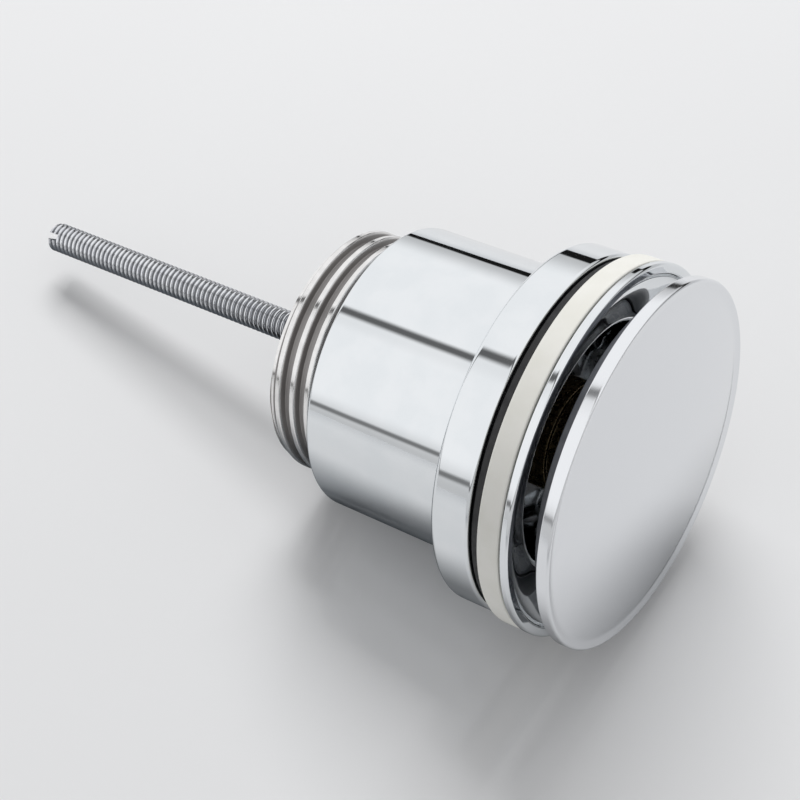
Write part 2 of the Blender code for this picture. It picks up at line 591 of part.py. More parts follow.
def make_plunger():
    """Plunger with a spring pocket, stud, key slot and the heart-shaped track round its skirt."""
    chamfer = GAP
    profile = [(0.0, POCKET_TOP), (POCKET_RADIUS, POCKET_TOP), (POCKET_RADIUS, PLUNGER_END)]
    profile += [(PLUNGER_RADIUS - chamfer, PLUNGER_END), (PLUNGER_RADIUS, PLUNGER_END + chamfer)]
    profile += [(PLUNGER_RADIUS, PLUNGER_SHOULDER), (PLUNGER_NECK_RADIUS, PLUNGER_SHOULDER)]
    profile += [(PLUNGER_NECK_RADIUS, PLUNGER_NECK_TOP), (STUD_RADIUS, PLUNGER_NECK_TOP)]
    stud_top = dome_height(0.0) - CAP_WALL - 2 * GAP
    profile += [(STUD_RADIUS, stud_top - chamfer), (STUD_RADIUS - chamfer, stud_top), (0.0, stud_top)]
    plunger = turned("plunger", profile, STAINLESS, MEDIUM)
    bottom = (0.0, PIN_HEIGHT)
    latch = (0.0, PIN_HEIGHT + TRAVEL - LATCH_DROP)
    near, far = (TRACK_SWING, PIN_HEIGHT + TRAVEL), (-TRACK_SWING, PIN_HEIGHT + TRAVEL)
    corners = [bottom, near, latch, far, bottom]
    for index, (start, end) in enumerate(zip(corners, corners[1:])):
        combine(plunger, track_leg(index, start, end), "DIFFERENCE")
    half = KEY_WIDTH / 2 + GAP
    slot_floor = GUIDE_RADIUS - KEY_HEIGHT - GAP
    slot_top = CHAMBER_LEDGE + TRAVEL
    slot = prism("key_slot", rectangle(-PLUNGER_RADIUS - CUT_MARGIN, -slot_floor, -half, half),
                 PLUNGER_END - CUT_MARGIN, slot_top)
    return combine(plunger, slot, "DIFFERENCE")


def track_leg(index, start, end):
    """Round-ended slot from one (angle, height) to another, wrapped on the plunger.

    Each leg is a little less deep than the one before, so that the pin drops over a step at every
    corner and can only go round the heart one way.
    """
    floor = TRACK_FLOOR_RADIUS + index * TRACK_FLOOR_STEP
    outside = PLUNGER_RADIUS + GAP
    middle = (TRACK_FLOOR_RADIUS + PLUNGER_RADIUS) / 2
    across, up = (end[0] - start[0]) * middle, end[1] - start[1]
    length = math.hypot(across, up)
    across, up = across / length, up / length
    half = TRACK_WIDTH / 2
    cap_angles = [math.radians(degrees) for degrees in (15.0, 40.0, 65.0, 90.0)]
    stations = [(-half * math.cos(angle), half * math.sin(angle)) for angle in cap_angles]
    stations += [(length * share, half) for share in (0.25, 0.5, 0.75)]
    stations += [(length + half * math.cos(angle), half * math.sin(angle)) for angle in reversed(cap_angles)]
    rings = []
    for along, reach in stations:
        ring = []
        for side, radius in ((-1, floor), (1, floor), (1, outside), (-1, outside)):
            angle = start[0] + (along * across - side * reach * up) / middle
            height = start[1] + along * up + side * reach * across
            ring.append((radius * math.cos(angle), radius * math.sin(angle), height))
        rings.append(ring)
    return lofted(f"track_leg_{index + 1}", rings)


def make_cartridge_body():
    """Housing of the mechanism, tapped from below for the tie rod, with a key for the plunger."""
    floor_under = CHAMBER_END - CHAMBER_FLOOR
    profile = [(0.0, floor_under), (ROD_HOLE_RADIUS, floor_under), (ROD_HOLE_RADIUS, CARTRIDGE_BOTTOM)]
    profile += corner(CARTRIDGE_RADIUS, CARTRIDGE_BOTTOM, CARTRIDGE_ROUND, -90.0)
    rim = COLLAR_BRIM_BOTTOM - GAP
    profile += [(CARTRIDGE_RADIUS, rim), (CHAMBER_RADIUS, rim), (CHAMBER_RADIUS, CHAMBER_LEDGE)]
    profile += [(GUIDE_RADIUS, CHAMBER_LEDGE), (GUIDE_RADIUS, CHAMBER_END), (0.0, CHAMBER_END)]
    body = turned("cartridge_body", profile, BRASS, MEDIUM)
    half = KEY_WIDTH / 2
    inner = GUIDE_RADIUS - KEY_HEIGHT
    key = prism("body_key", rectangle(-GUIDE_RADIUS - GAP, -inner, -half, half),
                CHAMBER_END - CHAMBER_FLOOR / 2, CHAMBER_LEDGE - GAP)
    return combine(body, key, "UNION")


def make_collar():
    """Screwed-in cover of the cartridge, grooved for the O-ring, that keeps the ring down."""
    groove = ORING_RADIUS + ORING_WIRE / 2 + GAP
    groove_half = ORING_WIRE / 2 + GAP
    profile = [(NECK_HOLE_RADIUS, COLLAR_LEDGE), (NECK_HOLE_RADIUS, ORING_HEIGHT - groove_half)]
    profile += [(groove, ORING_HEIGHT - groove_half), (groove, ORING_HEIGHT + groove_half)]
    profile += [(NECK_HOLE_RADIUS, ORING_HEIGHT + groove_half), (NECK_HOLE_RADIUS, COLLAR_TOP)]
    profile += reversed(corner(CARTRIDGE_RADIUS, COLLAR_TOP, CARTRIDGE_ROUND, 0.0))
    profile += [(CARTRIDGE_RADIUS, COLLAR_BRIM_BOTTOM), (SPIGOT_RADIUS, COLLAR_BRIM_BOTTOM)]
    profile += [(SPIGOT_RADIUS, TURN_RING_TOP + GAP), (GUIDE_RADIUS, TURN_RING_TOP + GAP)]
    profile += [(GUIDE_RADIUS, COLLAR_LEDGE)]
    return turned("cartridge_collar", profile, BRASS, MEDIUM)


def make_stem_oring():
    """O-ring that wipes the plunger's neck."""
    profile = arc((ORING_RADIUS, ORING_HEIGHT), (ORING_WIRE / 2, ORING_WIRE / 2), 0.0, 315.0, 7)
    return turned("stem_oring", profile, BLACK_RUBBER, MEDIUM)


def make_track_ring():
    """Ring that turns to and fro round the plunger, drilled for its pin."""
    profile = [(GUIDE_RADIUS, TURN_RING_BOTTOM), (SPIGOT_RADIUS, TURN_RING_BOTTOM)]
    profile += [(SPIGOT_RADIUS, TURN_RING_TOP), (GUIDE_RADIUS, TURN_RING_TOP)]
    ring = turned("track_ring", profile, ACETAL, MEDIUM)
    hole = radial_rod("pin_hole", PIN_RADIUS + GAP, GUIDE_RADIUS - CUT_MARGIN, SPIGOT_RADIUS + CUT_MARGIN)
    return combine(ring, hole, "DIFFERENCE")


def radial_rod(name, radius, inner, outer, finish=None):
    """Round rod along +X at the height of the track's pin."""
    circle = polygon(radius, PIN_SIDES)
    rings = [[(reach, y, PIN_HEIGHT + z) for y, z in circle] for reach in (inner, outer)]
    return lofted(name, rings, finish)


def make_track_pin():
    """Pin through the turning ring whose tip runs in the plunger's track."""
    tip = TRACK_FLOOR_RADIUS + PIN_TIP_PLAY
    return radial_rod("track_pin", PIN_RADIUS, tip, SPIGOT_RADIUS - GAP / 2, STAINLESS)


def make_spring():
    """Compression spring under the plunger, its end turns wound close."""
    low = CHAMBER_END + GAP + SPRING_WIRE / 2
    high = POCKET_TOP - GAP - SPRING_WIRE / 2
    mean = POCKET_RADIUS - GAP - SPRING_WIRE / 2
    close_pitch = SPRING_WIRE + GAP / 2
    open_pitch = (high - low - 2 * close_pitch) / (SPRING_TURNS - 2)
    points = []
    for step in range(SPRING_TURNS * SPRING_STEPS + 1):
        turn = step / SPRING_STEPS
        height = low + close_pitch * min(turn, 1.0) + open_pitch * min(max(turn - 1.0, 0.0), SPRING_TURNS - 2)
        height += close_pitch * max(turn - (SPRING_TURNS - 1), 0.0)
        points.append((mean * math.cos(math.tau * turn), mean * math.sin(math.tau * turn), height))
    wire = bpy.data.curves.new("return_spring", "CURVE")
    wire.dimensions = "3D"
    wire.bevel_depth = SPRING_WIRE / 2
    wire.bevel_resolution = 1
    wire.use_fill_caps = True
    spline = wire.splines.new("POLY")
    spline.points.add(len(points) - 1)
    for point, place in zip(spline.points, points):
        point.co = (*place, 1.0)
    spring = bpy.data.objects.new("return_spring", wire)
    wire.materials.append(material_for("return_spring", STAINLESS))
    bpy.context.scene.collection.objects.link(spring)
    return spring


def group(name, items):
    """Hang pieces that move together on an empty that lies on the common axis."""
    axis = bpy.data.objects.new(name, None)
    axis.empty_display_size = BARREL_RADIUS
    bpy.context.scene.collection.objects.link(axis)
    for item in items:
        item.parent = axis
    return axis


def build():
    """Make every piece and group the pieces by how they move."""
    clear_scene()
    lock_nut = make_nut("lock_nut", NUT_FLAT_RADIUS, NUT_BOTTOM, NUT_TOP, ROD_HOLE_RADIUS, ZINC)
    stud_nut = make_nut("stud_nut", STUD_NUT_FLAT_RADIUS, STUD_NUT_BOTTOM, STUD_NUT_TOP, STUD_HOLE_RADIUS,
                        BRASS)
    group("fixed_axis", [make_upper_flange(), make_top_seal(), make_cartridge_body(), make_collar(),
                         make_stem_oring(), make_seat_washer(), make_tie_rod(), make_lock_washer(), lock_nut])
    group("plug_axis", [make_cap(), make_cap_boss(), make_plug_core(), make_cap_seal(), stud_nut,
                        make_plunger(), make_spring()])
    group("track_axis", [make_track_ring(), make_track_pin()])
    group("clamp_axis", [make_bottom_seal()])
    group("thread_axis", [make_lower_body()])


build()
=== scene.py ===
"""Looks of a press-to-open basin waste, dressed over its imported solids.

+Z runs along the axis of the waste towards its cap, and the origin is where the pale seal bears on
the basin. Lengths are in millimetres, and a piece is brought to the model's metres when its mesh is
made. Every turned surface is a section carried round the axis as one numpy grid, and a thread is a
formula of the angle and the height.
"""
import logging
import math
from dataclasses import dataclass
from enum import Enum
from typing import Optional, Protocol, Sequence

import bpy
import numpy as np
from mathutils import Matrix


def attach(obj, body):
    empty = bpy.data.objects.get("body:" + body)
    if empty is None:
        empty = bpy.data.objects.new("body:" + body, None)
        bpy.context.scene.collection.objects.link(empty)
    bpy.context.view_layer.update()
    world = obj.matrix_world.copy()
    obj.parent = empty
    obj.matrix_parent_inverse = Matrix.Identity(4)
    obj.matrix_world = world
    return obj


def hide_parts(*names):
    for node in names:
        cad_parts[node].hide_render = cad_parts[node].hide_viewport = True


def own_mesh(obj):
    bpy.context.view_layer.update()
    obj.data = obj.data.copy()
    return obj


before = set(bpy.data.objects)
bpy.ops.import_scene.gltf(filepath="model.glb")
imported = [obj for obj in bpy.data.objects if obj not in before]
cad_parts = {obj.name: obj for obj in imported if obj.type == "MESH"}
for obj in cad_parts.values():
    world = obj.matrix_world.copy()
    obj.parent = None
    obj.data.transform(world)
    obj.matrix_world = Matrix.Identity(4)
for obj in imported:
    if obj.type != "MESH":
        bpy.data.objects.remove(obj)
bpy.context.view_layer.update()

MM = 0.001
FINE_SIDES = 256
TAIL_SIDES = 224
ROUND_SIDES = 192
NECK_SIDES = 144
INNER_SIDES = 96
SMALL_SIDES = 72
ROD_SIDES = 40
PIN_SIDES = 24
ARC_STEP = math.radians(14.0)
ARC_LEAST_STEPS = 3
STRAIGHT = 1e-3
TINY_AREA = 1e-9
TINY_CUT = 1e-4
SIDE_SHARE = 0.49
END_RINGS = 5
CREASE = math.radians(40.0)
BLOTCH_EDGE = (0.35, 0.65)
PATCH_EDGE = (0.35, 0.7)
FLOOR_PATCH_EDGE = (0.3, 0.7)
NUT_CHAMFER = 1.3
NUT_FACE = 0.94
ROD_HOLE = 3.0
FIT_GAP = 0.3
UP = np.array([0.0, 0.0, 1.0])
log = logging.getLogger("basin_waste")

Colour = tuple[float, float, float]
Place = tuple[float, float, float]
Corner = tuple[float, float, float]
Span = tuple[float, float]


class Slot(Enum):
    """Material slots of the record, which each piece keeps beside the finish that it is given."""

    FLANGE = "flange_chrome"
    CAP = "cap_chrome"
    BODY = "body_chrome"
    PALE_SEAL = "seal_pale"
    RUBBER = "rubber_black"
    ROD = "rod_zinc"
    BRASS = "brass"
    STAINLESS = "stainless"
    ACETAL = "acetal"
    MOULDING = "moulding_black"


class Body(Enum):
    """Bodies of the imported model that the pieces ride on."""

    FLANGE = "flange_assembly"
    PLUG = "plug"
    TRACK = "turning_ring"
    CLAMP_SEAL = "clamp_seal"
    CLAMP = "clamp_body"


class NodeBench:
    """Short forms for laying out a shader's nodes."""

    def __init__(self, tree: bpy.types.NodeTree) -> None:
        """Take an existing node tree.

        Args:
            tree: the tree that nodes are added to.
        """
        self.tree = tree

    def add(self, kind: str, **settings: object) -> bpy.types.Node:
        """Add a node and set its attributes.

        Args:
            kind: Blender's type name of the node.
            settings: attributes of the node and their values.

        Returns:
            The new node.
        """
        node = self.tree.nodes.new(kind)
        for name, value in settings.items():
            setattr(node, name, value)
        return node

    def feed(self, socket: bpy.types.NodeSocket, value: object) -> None:
        """Link a socket into an input, or set a plain value there.

        Args:
            socket: the input.
            value: an output socket, a number, a place or a colour.
        """
        if isinstance(value, bpy.types.NodeSocket):
            self.tree.links.new(value, socket)
        else:
            socket.default_value = value

    def math(self, operation: str, *values: object) -> bpy.types.NodeSocket:
        """Add a Math node.

        Args:
            operation: name of the operation.
            values: its inputs in order, numbers or sockets.

        Returns:
            The result's socket.
        """
        node = self.add("ShaderNodeMath", operation=operation)
        for socket, value in zip(node.inputs, values):
            self.feed(socket, value)
        return node.outputs[0]

    def ramp(self, value: object, start: float, end: float, low: float, high: float) -> bpy.types.NodeSocket:
        """Carry a value smoothly from one range to another, held at both ends.

        Args:
            value: the input.
            start: input at which the result is low.
            end: input at which the result is high.
            low: result at the start.
            high: result at the end.

        Returns:
            The result's socket.
        """
        node = self.add("ShaderNodeMapRange", interpolation_type="SMOOTHSTEP")
        for socket, entry in zip(node.inputs, (value, start, end, low, high)):
            self.feed(socket, entry)
        return node.outputs[0]

    def mix(self, share: object, first: object, second: object) -> bpy.types.NodeSocket:
        """Mix two colours.

        Args:
            share: how much of the second colour.
            first: colour at share 0.
            second: colour at share 1.

        Returns:
            The mixed colour's socket.
        """
        node = self.add("ShaderNodeMix", data_type="RGBA")
        self.feed(node.inputs[0], share)
        for socket, colour in ((node.inputs[6], first), (node.inputs[7], second)):
            self.feed(socket, (*colour, 1.0) if isinstance(colour, tuple) else colour)
        return node.outputs[2]

    def blend(self, share: object, first: object, second: object) -> bpy.types.NodeSocket:
        """Blend two numbers, as first (1 - share) + second share."""
        kept = self.math("MULTIPLY", self.math("SUBTRACT", 1.0, share), first)
        return self.math("ADD", kept, self.math("MULTIPLY", share, second))

    def split(self, place: object) -> list[bpy.types.NodeSocket]:
        """Split a place into its coordinates.

        Args:
            place: the place.

        Returns:
            The sockets of its three coordinates.
        """
        parts = self.add("ShaderNodeSeparateXYZ")
        self.feed(parts.inputs[0], place)
        return list(parts.outputs)


class MaterialBench(NodeBench):
    """Node bench of a new material, which is laid out in Object coordinates."""

    def __init__(self, name: str) -> None:
        """Start the material.

        Args:
            name: its name.
        """
        self.material = bpy.data.materials.new(name)
        self.material.use_nodes = True
        super().__init__(self.material.node_tree)
        self.inputs = self.tree.nodes["Principled BSDF"].inputs
        self.place = self.add("ShaderNodeTexCoord").outputs["Object"]

    def noise(self, size: float, detail: float = 2.0) -> bpy.types.NodeSocket:
        """Noise whose blotches measure about the given size.

        Args:
            size: width of one blotch.
            detail: octaves of finer noise.

        Returns:
            The noise value, about 0.5 on average.
        """
        node = self.add("ShaderNodeTexNoise")
        self.feed(node.inputs["Vector"], self.place)
        node.inputs["Scale"].default_value = 1.0 / (size * MM)
        node.inputs["Detail"].default_value = detail
        return node.outputs[0]

    def bump(self, socket: bpy.types.NodeSocket, depth: float, height: object) -> bpy.types.Node:
        """Put a relief on a normal's input.

        Args:
            socket: the input.
            depth: depth of the relief.
            height: its height, from 0 to 1.

        Returns:
            The Bump node, which can carry another relief under its own.
        """
        node = self.add("ShaderNodeBump")
        node.inputs["Distance"].default_value = depth * MM
        self.feed(node.inputs["Height"], height)
        self.feed(socket, node.outputs[0])
        return node

    def distance(self, other: object) -> bpy.types.NodeSocket:
        """Distance of the point that is shaded from another place.

        Args:
            other: the place, as a socket or three numbers.

        Returns:
            The distance in metres.
        """
        node = self.add("ShaderNodeVectorMath", operation="DISTANCE")
        self.feed(node.inputs[0], self.place)
        self.feed(node.inputs[1], other)
        return node.outputs["Value"]


@dataclass(frozen=True)
class Finish:
    """A finish of one material, mottled, unevenly glossy and with a fine relief.

    Attributes:
        name: name of the material.
        colour: main colour.
        tint: colour that the mottle brings in.
        metallic: 1 for bare or plated metal, 0 otherwise.
        sheen_range: least and most roughness.
        mottle: size of the colour's blotches.
        smear: size of the patches of other roughness.
        grain: size of the relief's grain.
        relief: depth of that grain.
    """

    name: str
    colour: Colour
    tint: Colour
    metallic: float
    sheen_range: Span
    mottle: float = 6.0
    smear: float = 3.0
    grain: float = 0.3
    relief: float = 0.002

    def material(self) -> bpy.types.Material:
        """Return the material, made on first use."""
        made = bpy.data.materials.get(self.name)
        if made:
            return made
        bench = MaterialBench(self.name)
        bench.inputs["Metallic"].default_value = self.metallic
        self.lay(bench)
        return bench.material

    def lay(self, bench: MaterialBench) -> None:
        """Lay out colour, roughness and relief.

        Args:
            bench: the material's node bench.
        """
        blotch = bench.ramp(bench.noise(self.mottle, 3.0), *BLOTCH_EDGE, 0.0, 1.0)
        bench.feed(bench.inputs["Base Color"], bench.mix(blotch, self.colour, self.tint))
        patch = bench.ramp(bench.noise(self.smear, 4.0), *PATCH_EDGE, *self.sheen_range)
        bench.feed(bench.inputs["Roughness"], patch)
        bench.bump(bench.inputs["Normal"], self.relief, bench.noise(self.grain))


@dataclass(frozen=True)
class Plating(Finish):
    """Bright plating over a polished casting, which stays a little wavy.

    Attributes:
        wave: length of the polish's soft waves.
        wave_relief: depth of those waves.
    """

    wave: float = 7.0
    wave_relief: float = 0.010

    def lay(self, bench: MaterialBench) -> None:
        """Lay out the common finish, then put the soft waves under its grain.

        Args:
            bench: the material's node bench.
        """
        super().lay(bench)
        grain = bench.inputs["Normal"].links[0].from_node
        bench.bump(grain.inputs["Normal"], self.wave_relief, bench.noise(self.wave, 0.0))


@dataclass(frozen=True)
class CutThread(Plating):
    """Plating that is polished on a thread's crests and dull in its grooves, where painted shade darkens its
    colour.

    Attributes:
        root: radius at which the groove's look ends.
        crest: radius from which the crest's look holds.
        groove: painted shade colour at the bottom of the groove.
        groove_sheen: roughness there.
        end: height up to which the piece's end edge keeps the crest's look.
        end_fade: height over which the groove's look then sets in.
    """

    root: float = 20.45
    crest: float = 20.88
    # painted shade: the groove's colour is darkened where shade falls in the thread
    groove: Colour = (0.27, 0.258, 0.252)
    groove_sheen: float = 0.38
    end: float = -46.35
    end_fade: float = 0.15

    def lay(self, bench: MaterialBench) -> None:
        """Lay out the plating, then mix in the groove's dull roughness and its painted shade colour by the
        distance from the axis.

        Args:
            bench: the material's node bench.
        """
        super().lay(bench)
        x, y, z = bench.split(bench.place)
        squares = [bench.math("MULTIPLY", axis, axis) for axis in (x, y)]
        radius = bench.math("SQRT", bench.math("ADD", *squares))
        past = bench.ramp(z, self.end * MM, (self.end + self.end_fade) * MM, 0.0, 1.0)
        dull_and_shaded_groove = bench.math("MULTIPLY", past, bench.ramp(radius, self.root * MM, self.crest * MM, 1.0, 0.0))
        colour, sheen = bench.inputs["Base Color"], bench.inputs["Roughness"]
        # painted shade: the colour goes dark in the groove; the roughness below goes dull there
        bench.feed(colour, bench.mix(dull_and_shaded_groove, colour.links[0].from_socket, self.groove))
        bench.feed(sheen, bench.blend(dull_and_shaded_groove, sheen.links[0].from_socket, self.groove_sheen))


CHROME = Plating("bright_chrome", (0.785, 0.805, 0.82), (0.755, 0.78, 0.797), 1.0, (0.025, 0.05),
                 grain=0.25, relief=0.0003)
CAP_CHROME = Plating("cap_chrome", (0.79, 0.80, 0.82), (0.77, 0.785, 0.805), 1.0, (0.03, 0.06),
                     grain=0.25, relief=0.0003)
# the tail's thread has painted shade in its grooves
THREAD_CHROME = CutThread("chrome_thread_painted_groove_shade", (0.82, 0.81, 0.80), (0.76, 0.75, 0.74), 1.0, (0.06, 0.12),
                          mottle=1.5, smear=0.8, grain=0.15, relief=0.002, wave=2.0, wave_relief=0.004)
CAST_CHROME = Plating("chrome_over_raw_casting", (0.58, 0.59, 0.60), (0.50, 0.50, 0.51), 1.0, (0.25, 0.42),
                      mottle=2.0, smear=1.0, grain=0.35, relief=0.02)
ZINC = Plating("zinc_plated_steel", (0.64, 0.66, 0.69), (0.56, 0.58, 0.62), 1.0, (0.14, 0.26),
               mottle=3.0, smear=0.8, grain=0.12, relief=0.003)
# the screw's thread has painted shade in its grooves, in the groove colour below
ZINC_THREAD = CutThread("zinc_thread_painted_groove_shade", (0.78, 0.79, 0.81), (0.70, 0.71, 0.74), 1.0, (0.07, 0.13),
                        mottle=3.0, smear=0.8, grain=0.12, relief=0.002, wave=2.0, wave_relief=0.002,
                        root=2.20, crest=2.66, groove=(0.22, 0.225, 0.235), groove_sheen=0.28, end=-1000.0)
# painted shade: brass colour darkened to about half, for pieces that sit in shade
BRASS = Plating("brass_darkened_as_painted_shade", (0.30, 0.23, 0.13), (0.24, 0.18, 0.10), 1.0, (0.24, 0.38),
                mottle=3.0, smear=0.7, grain=0.12, relief=0.004)
STAINLESS = Plating("stainless_steel", (0.62, 0.62, 0.61), (0.54, 0.54, 0.54), 1.0, (0.16, 0.28),
                    mottle=2.0, smear=0.6, grain=0.10, relief=0.003)
IVORY_SEAL = Finish("pale_moulded_seal", (0.88, 0.87, 0.82), (0.84, 0.83, 0.77), 0.0, (0.38, 0.52),
                    mottle=7.0, smear=1.2, grain=0.22, relief=0.008)
BLACK_RUBBER = Finish("black_rubber", (0.010, 0.010, 0.011), (0.020, 0.020, 0.021), 0.0, (0.48, 0.66),
                      mottle=1.6, smear=0.8, grain=0.16, relief=0.014)
SEAL_RUBBER = Finish("lip_seal_rubber", (0.095, 0.10, 0.115), (0.075, 0.08, 0.092), 0.0, (0.28, 0.42),
                     mottle=4.0, smear=1.0, grain=0.16, relief=0.006)
SLATE_MOULDING = Finish("slate_moulding", (0.30, 0.31, 0.34), (0.25, 0.26, 0.29), 0.0, (0.22, 0.36),
                        mottle=3.0, smear=1.0, grain=0.18, relief=0.008)
ACETAL = Finish("white_acetal", (0.72, 0.72, 0.69), (0.66, 0.66, 0.64), 0.0, (0.30, 0.42),
                mottle=3.0, smear=1.0, grain=0.2, relief=0.006)


@dataclass(frozen=True)
class Section:
    """Line in a plane with its outward normals, such as the half section of a turned piece.

    Attributes:
        points: the two coordinates of each point, in counter-clockwise order.
        normals: outward unit normal at each point.
        closed: whether the last point runs on to the first.
    """

    points: np.ndarray
    normals: np.ndarray
    closed: bool

    @classmethod
    def through(cls, corners: Sequence[Corner], closed: bool = True) -> "Section":
        """Line through corners, each with its own rounding.

        A corner with rounding p and half angle h has its arc's centre p / sin(h) along the
        bisector, and the arc leaves the sides p / tan(h) from the corner. A corner with rounding
        0 is a point of a smooth curve, whose normal is the mean of its two sides' normals. An
        open line starts and ends on the axis, and its end normals point down and up.

        Args:
            corners: radius, height and rounding of each corner, counter-clockwise.
            closed: whether the line is a closed loop.

        Returns:
            The line.
        """
        spots = np.array(corners)[:, :2]
        count = len(spots)
        points, normals = [], []
        for index, (spot, rounding) in enumerate(zip(spots, np.array(corners)[:, 2])):
            if not closed and index in (0, count - 1):
                points.append(spot[None])
                normals.append(np.array([[0.0, -1.0 if index == 0 else 1.0]]))
                continue
            bend = cls.bend(spot, spots[index - 1] - spot, spots[(index + 1) % count] - spot, rounding)
            points.append(bend[0])
            normals.append(bend[1])
        return cls(np.concatenate(points), np.concatenate(normals), closed)

    @staticmethod
    def bend(spot: np.ndarray, back: np.ndarray, ahead: np.ndarray, rounding: float) -> tuple:
        """Points and normals of one corner.

        Args:
            spot: the corner.
            back: from the corner to the one before.
            ahead: from the corner to the next one.
            rounding: radius of the arc, or 0 for a point of a smooth curve.

        Returns:
            Points and normals, one row each.
        """
        room = SIDE_SHARE * min(np.linalg.norm(back), np.linalg.norm(ahead))
        back, ahead = back / np.linalg.norm(back), ahead / np.linalg.norm(ahead)
        half = math.acos(float(np.clip(back @ ahead, -1.0, 1.0))) / 2
        if rounding == 0.0 or math.pi / 2 - half < STRAIGHT:
            outward = np.array([ahead[1] - back[1], back[0] - ahead[0]])
            return spot[None], (outward / np.linalg.norm(outward))[None]
        reach = min(rounding / math.tan(half), room)
        radius = reach * math.tan(half)
        bisector = (back + ahead) / np.linalg.norm(back + ahead)
        centre = spot + bisector * radius / math.sin(half)
        first = spot + back * reach - centre
        convex = 1.0 if ahead[0] * back[1] - ahead[1] * back[0] > 0.0 else -1.0
        steps = max(ARC_LEAST_STEPS, math.ceil((math.pi - 2 * half) / ARC_STEP))
        sweep = math.atan2(first[1], first[0]) + convex * np.linspace(0.0, math.pi - 2 * half, steps + 1)
        ring = np.stack([np.cos(sweep), np.sin(sweep)], axis=1)
        return centre + radius * ring, convex * ring

    def refined(self, low: float, high: float, step: float, over: float) -> "Section":
        """The same line with more points where a thread is cut into it.

        Args:
            low: lowest height of the stretch.
            high: highest height of the stretch.
            step: distance between points there.
            over: only lines further out than this radius are divided.

        Returns:
            The refined line.
        """
        following = np.roll(self.points, -1, axis=0)
        points, normals = [], []
        for index, (start, end) in enumerate(zip(self.points, following)):
            points.append(start[None])
            normals.append(self.normals[index][None])
            inside = min(start[1], end[1]) < high and max(start[1], end[1]) > low
            count = int(np.linalg.norm(end - start) / step)
            if inside and min(start[0], end[0]) > over and count > 1:
                share = np.linspace(0.0, 1.0, count + 1)[1:-1, None]
                points.append(start + (end - start) * share)
                normals.append(np.repeat(self.normals[index][None], count - 1, axis=0))
        return Section(np.concatenate(points), np.concatenate(normals), self.closed)


class Relief(Protocol):
    """Something that changes the radius of a turned surface."""

    def radius(self, turn: np.ndarray, base: np.ndarray, height: np.ndarray) -> np.ndarray:
        """Return the radius at each angle and height, from the plain radius there."""
        ...


@dataclass(frozen=True)
class Thread:
    """Single-start thread with flat crests and roots, which leaves all above and below it alone.

    Attributes:
        crest: radius of the crests.
        pitch: rise of one turn.
        depth: depth of the groove.
        low: height at which the thread starts.
        high: height at which it ends.
        fade: length over which it runs out at each end.
        over: only points further out than this are cut.
        crest_share: share of the pitch that is flat crest.
        root_share: share of the pitch that is flat root.
    """

    crest: float
    pitch: float
    depth: float
    low: float
    high: float
    fade: float
    over: float
    crest_share: float = 0.2
    root_share: float = 0.15

    def radius(self, turn: np.ndarray, base: np.ndarray, height: np.ndarray) -> np.ndarray:
        """Radius r = crest - depth g(u), with u the height in turns less the angle's share.

        With w = |2 (u mod 1) - 1|, the groove g is 0 on the crest, where w is under the crest's
        share, 1 in the root, where it is over 1 less the root's share, and runs straight between.
        It fades out to 0 at both ends of the thread.

        Args:
            turn: angle of each point.
            base: plain radius of each point.
            height: height of each point.

        Returns:
            The radius of each point.
        """
        share = np.mod(height / self.pitch - turn / math.tau, 1.0)
        slope = 1.0 - self.crest_share - self.root_share
        groove = np.clip((np.abs(2.0 * share - 1.0) - self.crest_share) / slope, 0.0, 1.0)
        room = np.minimum(height - self.low, self.high - height) / self.fade
        groove = groove * np.clip(room, 0.0, 1.0)
        cut = np.minimum(base, self.crest - self.depth * groove)
        return np.where((base > self.over) & (room > 0.0), cut, base)


@dataclass(frozen=True)
class Hexagon:
    """Six flats on the outside of a nut.

    Attributes:
        flats: distance across the flats.
        over: only points further out than this are cut.
    """

    flats: float
    over: float

    def radius(self, turn: np.ndarray, base: np.ndarray, height: np.ndarray) -> np.ndarray:
        """Radius r = half the flats / cos(angle from the nearest flat's middle).

        Args:
            turn: angle of each point.
            base: plain radius of each point.
            height: height of each point, which the flats don't depend on.

        Returns:
            The radius of each point.
        """
        off = np.mod(turn + math.pi / 6, math.pi / 3) - math.pi / 6
        cut = np.minimum(base, self.flats / 2 / np.cos(off))
        return np.where(base > self.over, cut, base)


@dataclass
class Skin:
    """Closed surface as arrays.

    Attributes:
        points: place of each point.
        normals: outward unit normal of each point.
        faces: arrays of point numbers, one row for each face.
    """

    points: np.ndarray
    normals: np.ndarray
    faces: list[np.ndarray]

    @classmethod
    def capped(cls, points: np.ndarray, normals: np.ndarray, poles: Sequence[Sequence[float]],
               tips: Sequence[Sequence[float]] = (-UP, UP)) -> "Skin":
        """Skin of a stack of rings that closes on a middle point at each end.

        Args:
            points: places, rings by sides.
            normals: their unit normals.
            poles: the two middle points, the lower one first.
            tips: unit normals of the poles.

        Returns:
            The skin.
        """
        count, sides = points.shape[:2]
        first = np.arange(count) * sides
        step = np.arange(sides)
        after = (step + 1) % sides
        total = count * sides
        below = np.stack([np.full(sides, total), after, step], axis=-1)
        above = np.stack([first[-1] + step, first[-1] + after, np.full(sides, total + 1)], axis=-1)
        return cls(np.concatenate([points.reshape(-1, 3), poles]),
                   np.concatenate([normals.reshape(-1, 3), tips]),
                   [grid_faces(first[:-1], first[1:], sides), below, above])

    def turned_by(self, angle: float) -> "Skin":
        """Return the skin turned about Z by an angle."""
        spin = np.array([[math.cos(angle), math.sin(angle), 0.0],
                         [-math.sin(angle), math.cos(angle), 0.0], UP])
        return Skin(self.points @ spin, self.normals @ spin, self.faces)

    def raised(self, height: float) -> "Skin":
        """Return the skin moved up."""
        return Skin(self.points + UP * height, self.normals, self.faces)

    def laid_along_x(self) -> "Skin":
        """Return the skin with its Z axis laid along +X, by a cyclic change of axes."""
        order = [2, 0, 1]
        return Skin(self.points[:, order], self.normals[:, order], self.faces)


